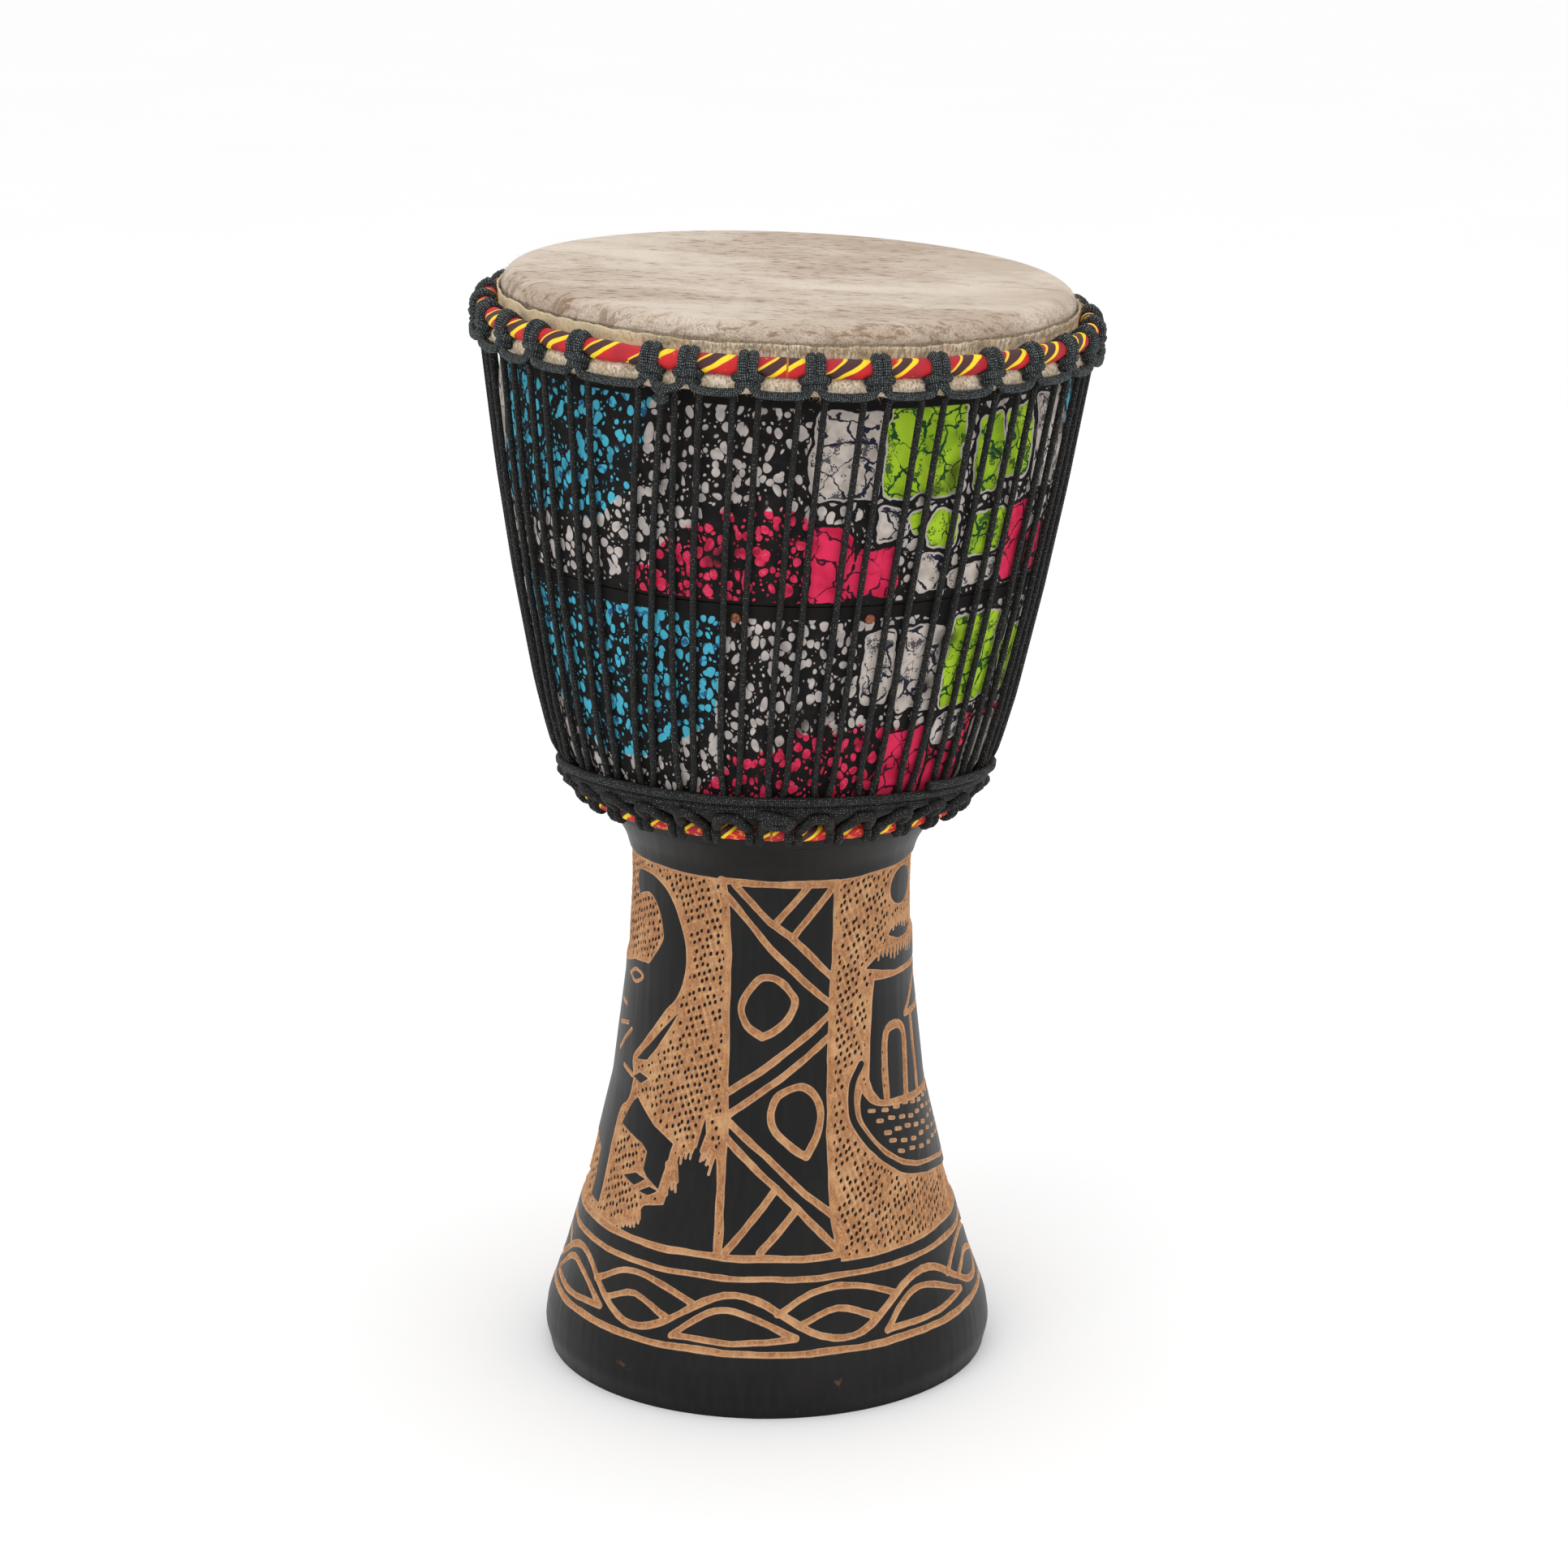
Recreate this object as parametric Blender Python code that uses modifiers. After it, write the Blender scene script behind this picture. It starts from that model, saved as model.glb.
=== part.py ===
"""Rope-tuned goblet drum (djembe): carved shell, goatskin head, ring set, loops and lacing.

Metres, +Z up. The drum stands on its foot at z = 0, with the middle of its bounding box on the Z axis.
An azimuth of 0 faces -Y and grows towards +X. Every shape is first made about an upright axis and then
takes the slight lean of the hand-carved shell, which grows from nothing at the floor to LEAN at the head.
"""

import math

import bmesh
import bpy
from mathutils import Matrix, Vector

# Driving dimensions, in metres.
HEIGHT = 0.600              # floor to playing head, on the axis
LEAN = math.radians(2.4)    # how far the axis has leaned towards +X at the head
PITCHES = 32                # hitches on each ring, so twice as many rope verticals
FIRST_KNOT = math.radians(4.7)
TWIST = math.radians(-4.6)  # how far the lacing has crept round between the crown and bottom rings

SKIN_THICKNESS = 0.0010
EDGE_ARC_R = 0.1415         # where the flat head starts to round over the bearing edge
EDGE_ROUND = 0.0100         # outside rounding of the skin at the bearing edge
SKIN_SIDE_R = 0.1515        # outside of the skin where it runs down the shell

FLESH_Z = 0.5700
FLESH_ROD = 0.0036
CROWN_Z = 0.5797
CROWN_RING_R = 0.1597
CROWN_ROD = 0.0037
BOTTOM_RING_Z = 0.3235
BOTTOM_RING_R = 0.1035
BOTTOM_ROD = 0.0030

CLOTH = 0.0005
GAP = 0.0003                # fit between pieces that touch
ROPE = 0.0019               # rope radius
PINCHED = 0.37              # how thin a rope is squeezed behind a ring, of its radius
COLLAR_TOP_Z = 0.5920

CLOTH_TOP_Z = 0.5600
UPPER_CLOTH_END_Z = 0.4576
LOWER_CLOTH_TOP_Z = 0.4570  # the selvedge of the lower cloth is tacked here
CLOTH_END_Z = 0.3415

TACK_GAPS = (-12, -2, 3, 10, 17, 23, 29, 36, 42, 47)   # gaps between verticals, counted from knot 0
TACK_Z = 0.4470
TACK_HEAD_R = 0.0028
TACK_DOME = 0.0013
TACK_PIN_R = 0.0006
TACK_PIN = 0.0075
TACK_HOLE_R = 0.0010
TACK_POINT = 0.0012         # length of the pin's sharpened end
TACK_SIDES = 8

STEPS = 40                  # facets round a turned piece
NECK_STEPS = 32             # facets round the small bottom ring
ROD_SIDES = 6
RIM_INSET = SKIN_THICKNESS + GAP

# Outside of the shell from the bearing edge to the foot: (radius, height).
BOWL_OUTLINE = (
    (0.1499, 0.5900), (0.1500, 0.5620), (0.1508, 0.5400), (0.1482, 0.5000), (0.1379, 0.4400),
    (0.1258, 0.3800), (0.1175, 0.3480), (0.1145, 0.3410), (0.1002, 0.3333), (0.0938, 0.3250),
    (0.0895, 0.3115), (0.0847, 0.3035), (0.0800, 0.2955), (0.0776, 0.2875),
)
STEM_OUTLINE = (
    (0.0771, 0.2680), (0.0790, 0.2150), (0.0862, 0.1550), (0.0990, 0.1000), (0.1130, 0.0510),
    (0.1228, 0.0240), (0.1246, 0.0120), (0.1214, 0.0000),
)
# Inside of the shell from the foot to the bearing edge: a narrow throat opens into the bowl.
INSIDE_OUTLINE = (
    (0.1040, 0.0000), (0.0800, 0.0900), (0.0570, 0.2000), (0.0520, 0.2750), (0.0680, 0.3270),
    (0.1060, 0.3860), (0.1310, 0.4900), (0.1378, 0.5950),
)

COLOURS = {
    "black_wood": ((0.020, 0.019, 0.018, 1.0), 0.38, 0.0),
    "skin": ((0.62, 0.52, 0.40, 1.0), 0.62, 0.0),
    "steel": ((0.30, 0.29, 0.28, 1.0), 0.45, 1.0),
    "red_cloth": ((0.55, 0.04, 0.03, 1.0), 0.80, 0.0),
    "print_cloth": ((0.06, 0.13, 0.15, 1.0), 0.80, 0.0),
    "rope": ((0.018, 0.020, 0.022, 1.0), 0.70, 0.0),
    "rusty_iron": ((0.20, 0.10, 0.05, 1.0), 0.60, 0.8),
}


def axis_shift(z):
    """Sideways place of the drum's axis at height z, with the crown's middle over the Z axis."""
    return LEAN * (z * z - CROWN_Z * CROWN_Z) / (2.0 * HEIGHT)


def lean(point):
    """Carry a point of the upright drum to its place on the leaning one."""
    angle = LEAN * point.z / HEIGHT
    return Vector((
        axis_shift(point.z) + point.x * math.cos(angle),
        point.y,
        point.z - point.x * math.sin(angle),
    ))


def polar(azimuth, radius, z):
    return Vector((radius * math.sin(azimuth), -radius * math.cos(azimuth), z))


def knot_azimuth(pitch, z):
    """Middle of the pair of verticals under a crown knot, at height z."""
    down = (CROWN_Z - z) / (CROWN_Z - BOTTOM_RING_Z)
    return FIRST_KNOT + 2.0 * math.pi * pitch / PITCHES + TWIST * down


def arc(centre_r, centre_z, radius, start_deg, end_deg, count):
    """Points (r, z) along an arc; angles from the +r direction towards +z."""
    points = []
    for i in range(count + 1):
        angle = math.radians(start_deg + (end_deg - start_deg) * i / count)
        points.append((centre_r + radius * math.cos(angle), centre_z + radius * math.sin(angle)))
    return points


def radius_at(outline, z):
    """Radius of an outline, which runs from top to bottom, at height z."""
    for (upper_r, upper_z), (lower_r, lower_z) in zip(outline, outline[1:]):
        if lower_z <= z <= upper_z:
            return lower_r + (upper_r - lower_r) * (z - lower_z) / (upper_z - lower_z)
    raise ValueError("height outside the outline")


def sheet_profile(path, thickness):
    """Both faces of a sheet that follows path: the left side first, then back along the right."""
    left, right = [], []
    for i, (r, z) in enumerate(path):
        before = path[max(i - 1, 0)]
        after = path[min(i + 1, len(path) - 1)]
        along = Vector((after[0] - before[0], after[1] - before[1])).normalized()
        side = Vector((-along.y, along.x)) * thickness / 2.0
        left.append((max(r + side.x, 0.0), z + side.y))
        right.append((max(r - side.x, 0.0), z - side.y))
    return left + right[::-1]


def material(name):
    found = bpy.data.materials.get(name)
    if found:
        return found
    colour, roughness, metallic = COLOURS[name]
    made = bpy.data.materials.new(name)
    made.use_nodes = True
    shader = made.node_tree.nodes["Principled BSDF"]
    shader.inputs["Base Color"].default_value = colour
    shader.inputs["Roughness"].default_value = roughness
    shader.inputs["Metallic"].default_value = metallic
    return made


def finish(obj, name, look, parent, sharp_deg=40.0):
    """Turn an upright object into the finished piece: mesh, lean, shading, material and parent."""
    bpy.context.view_layer.update()
    evaluated = obj.evaluated_get(bpy.context.evaluated_depsgraph_get())
    mesh = bpy.data.meshes.new_from_object(evaluated)
    mesh.name = name
    mesh.transform(obj.matrix_world)
    welded = bmesh.new()
    welded.from_mesh(mesh)
    bmesh.ops.remove_doubles(welded, verts=welded.verts, dist=0.00001)
    for vertex in welded.verts:
        vertex.co = lean(vertex.co) - parent.location
    welded.to_mesh(mesh)
    welded.free()
    bpy.data.objects.remove(obj)
    mesh.materials.clear()
    mesh.materials.append(material(look))
    mesh.shade_smooth()
    mesh.set_sharp_from_angle(angle=math.radians(sharp_deg))
    piece = bpy.data.objects.new(name, mesh)
    PARTS.objects.link(piece)
    piece.parent = parent
    return piece


def turned(name, profile, closed, steps=STEPS):
    """A profile turned about the Z axis with a Screw modifier."""
    mesh = bpy.data.meshes.new(name + "_profile")
    edges = [(i, i + 1) for i in range(len(profile) - 1)]
    if closed:
        edges.append((len(profile) - 1, 0))
    mesh.from_pydata([(r, 0.0, z) for r, z in profile], edges, [])
    obj = bpy.data.objects.new(name + "_profile", mesh)
    PARTS.objects.link(obj)
    screw = obj.modifiers.new("turn", "SCREW")
    screw.axis = "Z"
    screw.angle = 2.0 * math.pi
    screw.steps = steps
    screw.render_steps = steps
    screw.use_merge_vertices = True
    screw.merge_threshold = 0.00001
    return obj


def ring(name, radius, rod, z, parent, steps=STEPS):
    """Welded steel rod ring."""
    bpy.ops.mesh.primitive_torus_add(
        major_radius=radius, minor_radius=rod, major_segments=steps, minor_segments=ROD_SIDES,
        location=(0.0, 0.0, z))
    return finish(bpy.context.object, name, "steel", parent)


def cloth_wrap(name, radius, rod, z, parent, steps=STEPS):
    """Cloth strip wound round a ring: a C-section whose edges nearly meet on the inner side."""
    middle = rod + GAP / math.cos(math.pi / ROD_SIDES) + CLOTH / 2.0
    path = arc(radius, z, middle, 160.0, 120.0, 1)
    path += arc(radius, z, middle, 60.0, -60.0, 2)
    path += arc(radius, z, middle, -120.0, -160.0, 1)
    obj = turned(name, sheet_profile(path, CLOTH), closed=True, steps=steps)
    return finish(obj, name, "red_cloth", parent)


def rope(name, points, thickness, closed, parent, resolution=1):
    """Rope along points; thickness holds a factor of the rope's radius for each."""
    curve = bpy.data.curves.new(name + "_line", "CURVE")
    curve.dimensions = "3D"
    curve.bevel_depth = ROPE
    curve.bevel_resolution = resolution
    curve.use_fill_caps = not closed
    spline = curve.splines.new("POLY")
    spline.points.add(len(points) - 1)
    for point, place, factor in zip(spline.points, points, thickness):
        point.co = (*place, 1.0)
        point.radius = factor
    spline.use_cyclic_u = closed
    obj = bpy.data.objects.new(name + "_line", curve)
    PARTS.objects.link(obj)
    return finish(obj, name, "rope", parent, sharp_deg=70.0)


def make_shell():
    crown = arc(EDGE_ARC_R, HEIGHT - EDGE_ROUND, EDGE_ROUND - RIM_INSET, 90.0, 18.0, 2)
    profile = crown + list(BOWL_OUTLINE) + list(STEM_OUTLINE) + list(INSIDE_OUTLINE)
    shell = turned("shell", profile, closed=True)
    drill(shell)
    return finish(shell, "shell", "black_wood", DRUM)


def make_skin():
    """Head, rounded edge and side; then round the flesh ring and up again as the collar."""
    middle = SKIN_THICKNESS / 2.0
    wrap = (FLESH_ROD + GAP) / math.cos(math.radians(22.5)) + middle
    side_r = SKIN_SIDE_R - middle
    flesh_r = side_r + wrap
    collar_r = SKIN_SIDE_R + GAP + middle
    path = [(0.0, HEIGHT - middle)]
    path += arc(EDGE_ARC_R, HEIGHT - EDGE_ROUND, EDGE_ROUND - middle, 90.0, 0.0, 3)
    path += arc(flesh_r, FLESH_Z, wrap, 180.0, 495.0, 7)
    path += [(collar_r, 0.5865), (collar_r + 0.0014, COLLAR_TOP_Z)]
    obj = turned("skin", sheet_profile(path, SKIN_THICKNESS), closed=False)
    finish(obj, "skin", "skin", DRUM)
    return flesh_r


def bowl_cloth(name, top_z, end_z):
    """Cloth stretched over the bowl."""
    offset = GAP + CLOTH / 2.0
    heights = [z for _, z in BOWL_OUTLINE if end_z < z < top_z]
    if end_z not in heights:
        heights.append(end_z)
    heights.insert(0, top_z)
    path = [(radius_at(BOWL_OUTLINE, z) + offset, z) for z in heights]
    return turned(name, sheet_profile(path, CLOTH), closed=True)


def make_bowl_cloths():
    upper = bowl_cloth("bowl_cloth_upper", CLOTH_TOP_Z, UPPER_CLOTH_END_Z)
    finish(upper, "bowl_cloth_upper", "print_cloth", DRUM)
    lower = bowl_cloth("bowl_cloth_lower", LOWER_CLOTH_TOP_Z, CLOTH_END_Z)
    drill(lower)
    finish(lower, "bowl_cloth_lower", "print_cloth", DRUM)


def tack_frame(gap):
    """Place and outward direction of a tack on the upright bowl, in a gap between verticals."""
    azimuth = knot_azimuth(gap / 2.0, TACK_Z)
    slope = (radius_at(BOWL_OUTLINE, TACK_Z + 0.01) - radius_at(BOWL_OUTLINE, TACK_Z - 0.01)) / 0.02
    out = Vector((math.sin(azimuth), -math.cos(azimuth), -slope)).normalized()
    surface = radius_at(BOWL_OUTLINE, TACK_Z) + 2.0 * GAP + CLOTH
    return polar(azimuth, surface, TACK_Z), out


def drill(obj):
    """Cut the tack holes."""
    cut = obj.modifiers.new("tack_holes", "BOOLEAN")
    cut.operation = "DIFFERENCE"
    cut.solver = "EXACT"
    cut.object = TACK_HOLES


def make_tack_holes():
    """One cutter with a pin-sized cylinder for each tack, through the cloth and into the wood."""
    length = 2.0 * (TACK_PIN + 0.001)
    cutter = bmesh.new()
    for gap in TACK_GAPS:
        place, out = tack_frame(gap)
        turn = out.to_track_quat("Z", "Y").to_matrix().to_4x4()
        bmesh.ops.create_cone(
            cutter, cap_ends=True, segments=TACK_SIDES, radius1=TACK_HOLE_R, radius2=TACK_HOLE_R,
            depth=length, matrix=Matrix.Translation(place) @ turn)
    mesh = bpy.data.meshes.new("tack_holes")
    cutter.to_mesh(mesh)
    cutter.free()
    holes = bpy.data.objects.new("tack_holes", mesh)
    CUTTERS.objects.link(holes)
    holes.hide_render = True
    holes.display_type = "WIRE"
    return holes


def make_tacks():
    profile = [
        (0.0, TACK_DOME), (0.55 * TACK_HEAD_R, 0.80 * TACK_DOME), (TACK_HEAD_R, 0.15 * TACK_DOME),
        (0.96 * TACK_HEAD_R, 0.0), (TACK_PIN_R, 0.0), (TACK_PIN_R, TACK_POINT - TACK_PIN), (0.0, -TACK_PIN)]
    for number, gap in enumerate(TACK_GAPS, start=1):
        place, out = tack_frame(gap)
        tack = turned("tack", profile, closed=False, steps=TACK_SIDES)
        tack.rotation_mode = "QUATERNION"
        tack.rotation_quaternion = out.to_track_quat("Z", "Y")
        tack.location = place
        finish(tack, f"cloth_tack_{number:02d}", "rusty_iron", DRUM)


def hitch_rope(name, knot, first, parent):
    """Closed rope that repeats a knot; a knot point is (sideways, radius, z, thickness)."""
    points, thickness = [], []
    for pitch in range(PITCHES):
        middle = first + 2.0 * math.pi * pitch / PITCHES
        for sideways, radius, z, factor in knot:
            points.append(polar(middle + sideways / radius, radius, z))
            thickness.append(factor)
    return rope(name, points, thickness, True, parent)


def make_top_loops():
    """Two strands over the crown ring at each hitch, and a scallop under the flesh ring between them."""
    strand = 0.0023
    around = 0.0080
    front, over = arc(CROWN_RING_R, CROWN_Z, around, -12.0, 52.0, 1)
    behind_r = SKIN_SIDE_R + SKIN_THICKNESS + 2.0 * GAP + PINCHED * ROPE
    half = [
        (0.0068, 0.1650, 0.5636, 1.0),
        (strand, *front, 1.0),
        (strand, *over, 1.0),
        (0.7 * strand, CROWN_RING_R - 0.0032, CROWN_Z + 0.0066, 0.65),
        (0.5 * strand, behind_r, CROWN_Z + 0.0016, PINCHED),
    ]
    knot = [(-side, r, z, factor) for side, r, z, factor in half] + half[::-1]
    return hitch_rope("top_loops", knot, knot_azimuth(0.0, CROWN_Z), RING_SET)


def make_bottom_loops():
    """One turn round the bottom ring at each hitch, and an arch that holds the lacing between them."""
    arch = (0.1230, 0.3370)
    knot = [
        (-0.0056, *arch, 1.0),
        (-0.0024, BOTTOM_RING_R + 0.0069, BOTTOM_RING_Z - 0.0010, 1.0),
        (-0.0016, BOTTOM_RING_R + 0.0026, BOTTOM_RING_Z - 0.0065, 1.0),
        (-0.0008, BOTTOM_RING_R - 0.0040, BOTTOM_RING_Z - 0.0057, 0.7),
        (0.0000, BOTTOM_RING_R - 0.0056, BOTTOM_RING_Z + 0.0003, 0.5),
        (0.0010, BOTTOM_RING_R - 0.0044, BOTTOM_RING_Z + 0.0046, 0.5),
        (0.0022, BOTTOM_RING_R + 0.0006, BOTTOM_RING_Z + 0.0064, 0.7),
        (0.0056, *arch, 1.0),
    ]
    return hitch_rope("bottom_loops", knot, knot_azimuth(0.5, BOTTOM_RING_Z), DRUM)


def make_lacing():
    """The tuning rope zigzags between the top scallops and the bottom arches."""
    heights = (0.5615, 0.5000, 0.4400, 0.3800, 0.3480, 0.3415)
    clear = 2.0 * GAP + CLOTH + ROPE + 0.0006
    line = []
    for z in heights:
        line.append([radius_at(BOWL_OUTLINE, z) + clear, z])
    line[0][0] = 0.1600
    line.append([0.1150, 0.3360])
    aside = [math.radians(2.3)] * len(line)
    aside[-1] = math.radians(1.25)
    leg = [(turn, r, z) for turn, (r, z) in zip(aside, line)]
    points = []
    for pitch in range(PITCHES):
        points += [polar(knot_azimuth(pitch, z) - turn, r, z) for turn, r, z in leg]
        points += [polar(knot_azimuth(pitch, z) + turn, r, z) for turn, r, z in reversed(leg)]
    return rope("lacing_rope", points, [1.0] * len(points), False, DRUM, resolution=0)


def make_tie_off():
    """The rope's tail, wound round the foot of the bowl over the verticals."""
    turns = 2.0
    top_z = 0.3500
    rise = 0.0042
    start = math.radians(40.0)
    count = int(turns * NECK_STEPS)
    points = []
    for i in range(count + 1):
        angle = start + 2.0 * math.pi * turns * i / count
        z = top_z - rise * turns * i / count
        radius = 0.1273 - 0.286 * (top_z - z)
        points.append(polar(angle, radius, z))
    return rope("tie_off_rope", points, [1.0] * len(points), False, DRUM)


def build():
    make_shell()
    flesh_r = make_skin()
    ring("flesh_ring", flesh_r, FLESH_ROD, FLESH_Z, RING_SET)
    ring("crown_ring", CROWN_RING_R, CROWN_ROD, CROWN_Z, RING_SET)
    cloth_wrap("crown_ring_cloth", CROWN_RING_R, CROWN_ROD, CROWN_Z, RING_SET)
    ring("bottom_ring", BOTTOM_RING_R, BOTTOM_ROD, BOTTOM_RING_Z, DRUM, NECK_STEPS)
    cloth_wrap("bottom_ring_cloth", BOTTOM_RING_R, BOTTOM_ROD, BOTTOM_RING_Z, DRUM, NECK_STEPS)
    make_top_loops()
    make_bottom_loops()
    make_lacing()
    make_tie_off()
    make_bowl_cloths()
    make_tacks()


for leftover in list(bpy.data.objects):
    bpy.data.objects.remove(leftover)

PARTS = bpy.data.collections.new("djembe")
CUTTERS = bpy.data.collections.new("cutters")
bpy.context.scene.collection.children.link(PARTS)
bpy.context.scene.collection.children.link(CUTTERS)

DRUM = bpy.data.objects.new("drum", None)
RING_SET = bpy.data.objects.new("ring_set", None)
RING_SET.location = lean(Vector((0.0, 0.0, CROWN_Z)))
for empty in (DRUM, RING_SET):
    PARTS.objects.link(empty)
RING_SET.parent = DRUM
bpy.context.view_layer.update()

TACK_HOLES = make_tack_holes()
build()
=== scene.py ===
"""Looks of the rope-tuned djembe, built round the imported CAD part.

Metres, +Z up. As in the part, azimuth 0 faces -Y and grows towards +X, every shape is first made about
an upright axis, and the slight lean of the hand-carved shell is put on last.
"""

import math

import bpy
import numpy as np
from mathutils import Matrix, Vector


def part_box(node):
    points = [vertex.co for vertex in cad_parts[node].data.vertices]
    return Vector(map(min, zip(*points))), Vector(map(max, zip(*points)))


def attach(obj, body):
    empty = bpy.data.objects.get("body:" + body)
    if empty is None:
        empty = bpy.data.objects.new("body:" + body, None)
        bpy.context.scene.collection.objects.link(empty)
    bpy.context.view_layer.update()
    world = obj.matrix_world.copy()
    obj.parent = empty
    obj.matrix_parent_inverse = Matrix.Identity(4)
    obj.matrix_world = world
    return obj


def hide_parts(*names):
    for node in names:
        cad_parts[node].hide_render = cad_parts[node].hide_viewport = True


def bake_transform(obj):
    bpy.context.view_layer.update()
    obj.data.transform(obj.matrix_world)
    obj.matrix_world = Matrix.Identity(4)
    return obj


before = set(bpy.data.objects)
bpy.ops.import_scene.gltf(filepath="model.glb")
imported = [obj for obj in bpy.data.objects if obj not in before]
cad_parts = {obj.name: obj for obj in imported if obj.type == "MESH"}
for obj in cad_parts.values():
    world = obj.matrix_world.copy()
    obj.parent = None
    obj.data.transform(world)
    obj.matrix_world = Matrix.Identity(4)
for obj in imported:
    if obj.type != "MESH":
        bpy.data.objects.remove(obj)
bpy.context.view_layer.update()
BODY, RINGS = "drum", "ring_set"


def ring_size(node, rod):
    """Radius and height of the centreline of a steel ring, from its CAD node."""
    low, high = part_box(node)
    return (high.y - low.y) / 2.0 - rod, (high.z + low.z) / 2.0


# Driving dimensions, shared with the part.
HEIGHT = 0.600
LEAN = math.radians(2.4)
PITCHES = 32
PITCH = 360.0 / PITCHES     # degrees from hitch to hitch
FIRST_KNOT = 4.7            # degrees, as all the azimuths below
TWIST = -4.6
CROWN_ROD, FLESH_ROD, BOTTOM_ROD = 0.0037, 0.0036, 0.0030
CROWN_R, CROWN_Z = ring_size("crown_ring", CROWN_ROD)
FLESH_R, FLESH_Z = ring_size("flesh_ring", FLESH_ROD)
BOTTOM_R, BOTTOM_Z = ring_size("bottom_ring", BOTTOM_ROD)
CLOTH = 0.0005
ROPE = 0.0019
SKIN = 0.0010
SKIN_SIDE_R = 0.1515
EDGE_ARC_R, EDGE_ROUND = 0.1415, 0.0100
COLLAR_FOOT, COLLAR_TOP = 0.5772, 0.5920
CLOTH_TOP, UPPER_END, LOWER_TOP, CLOTH_END = 0.5600, 0.4576, 0.4570, 0.3415
TACK_GAPS = (-12, -2, 3, 10, 17, 23, 29, 36, 42, 47)
TACK_Z = 0.4470
STEM_TOP = 0.3100
FIT = 0.0003                # gap between pieces that touch
ALL_PAINT = 0.001           # value of "cut" where nothing is carved
THREAD = 0.0008             # pitch of the bowl cloth's weave
HATCH_ACROSS, HATCH_UP = 0.0040, 0.0046     # spacing of the chisel strokes
UNROLL_R = 0.145            # radius at which the print is laid out flat
CAMERA_PLACE, CAMERA_TILT, CAMERA_LENS = (-0.0022, -2.2643, 0.9748), 16.12, 99.4
HEM = 0.0066                # plain black width along the top of a bowl cloth

# Outside of the shell from the foot to the bearing edge, and the inside: (radius, height).
OUTSIDE = (
    (0.1214, 0.0000), (0.1246, 0.0120), (0.1228, 0.0240), (0.1130, 0.0510), (0.0990, 0.1000),
    (0.0862, 0.1550), (0.0790, 0.2150), (0.0771, 0.2680), (0.0776, 0.2875), (0.0800, 0.2955),
    (0.0847, 0.3035), (0.0895, 0.3115), (0.0938, 0.3250), (0.0992, 0.3330), (0.1132, 0.3412),
    (0.1173, 0.3480), (0.1258, 0.3800), (0.1379, 0.4400), (0.1482, 0.5000), (0.1508, 0.5400),
    (0.1500, 0.5620), (0.1499, 0.5900),
)
INSIDE = (
    (0.1040, 0.0000), (0.0800, 0.0900), (0.0570, 0.2000), (0.0520, 0.2750), (0.0680, 0.3270),
    (0.1060, 0.3860), (0.1310, 0.4900), (0.1378, 0.5950),
)


# ---------------------------------------------------------------- shape helpers

def smooth_profile(outline, window):
    """Function of height that rounds the corners of an outline over a window."""
    radii, heights = np.array(outline).T
    fine = np.arange(heights[0] - window, heights[-1] + window, 0.0005)
    half = int(window / 0.001)
    kernel = np.hanning(2 * half + 3)
    padded = np.pad(np.interp(fine, heights, radii), half + 1, mode="edge")
    rounded = np.convolve(padded, kernel / kernel.sum(), mode="valid")
    return lambda z: np.interp(z, fine, rounded)


outside_radius = smooth_profile(OUTSIDE, 0.010)
inside_radius = smooth_profile(INSIDE, 0.030)


def lean(points):
    """Carry points of the upright drum to their places on the leaning one."""
    x, y, z = points[..., 0], points[..., 1], points[..., 2]
    angle = LEAN * z / HEIGHT
    shift = LEAN * (z * z - CROWN_Z * CROWN_Z) / (2.0 * HEIGHT)
    return np.stack([shift + x * np.cos(angle), y, z - x * np.sin(angle)], -1)


def polar(degrees, radius, z):
    turn = np.radians(degrees)
    return np.stack(np.broadcast_arrays(radius * np.sin(turn), -radius * np.cos(turn), z), -1)


def knot_azimuth(pitch, z):
    """Middle of the pair of verticals under a crown knot, at height z, in degrees."""
    return FIRST_KNOT + PITCH * pitch + TWIST * (CROWN_Z - z) / (CROWN_Z - BOTTOM_Z)


def noise(u, v, seed):
    """Smooth random field from -1 to 1 with a feature about every unit of u and v."""
    size = 64
    table = np.random.default_rng(seed).uniform(-1.0, 1.0, (size, size))
    u, v = np.broadcast_arrays(np.asarray(u, float), np.asarray(v, float))
    i, j = np.floor(u).astype(int), np.floor(v).astype(int)
    s, t = u - i, v - j
    s, t = s * s * (3.0 - 2.0 * s), t * t * (3.0 - 2.0 * t)
    i, j, i1, j1 = i % size, j % size, (i + 1) % size, (j + 1) % size
    low = table[i, j] * (1.0 - s) + table[i1, j] * s
    high = table[i, j1] * (1.0 - s) + table[i1, j1] * s
    return low * (1.0 - t) + high * t


def fractal(u, v, seed, octaves=3):
    total, weight = 0.0, 1.0
    for octave in range(octaves):
        total = total + weight * noise(u * 2 ** octave, v * 2 ** octave, seed + octave)
        weight *= 0.5
    return total / 1.5


def smoothstep(low, high, value):
    t = np.clip((value - low) / (high - low), 0.0, 1.0)
    return t * t * (3.0 - 2.0 * t)


def add_object(name, data):
    made = bpy.data.objects.new(name, data)
    bpy.context.scene.collection.objects.link(made)
    return made


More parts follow.
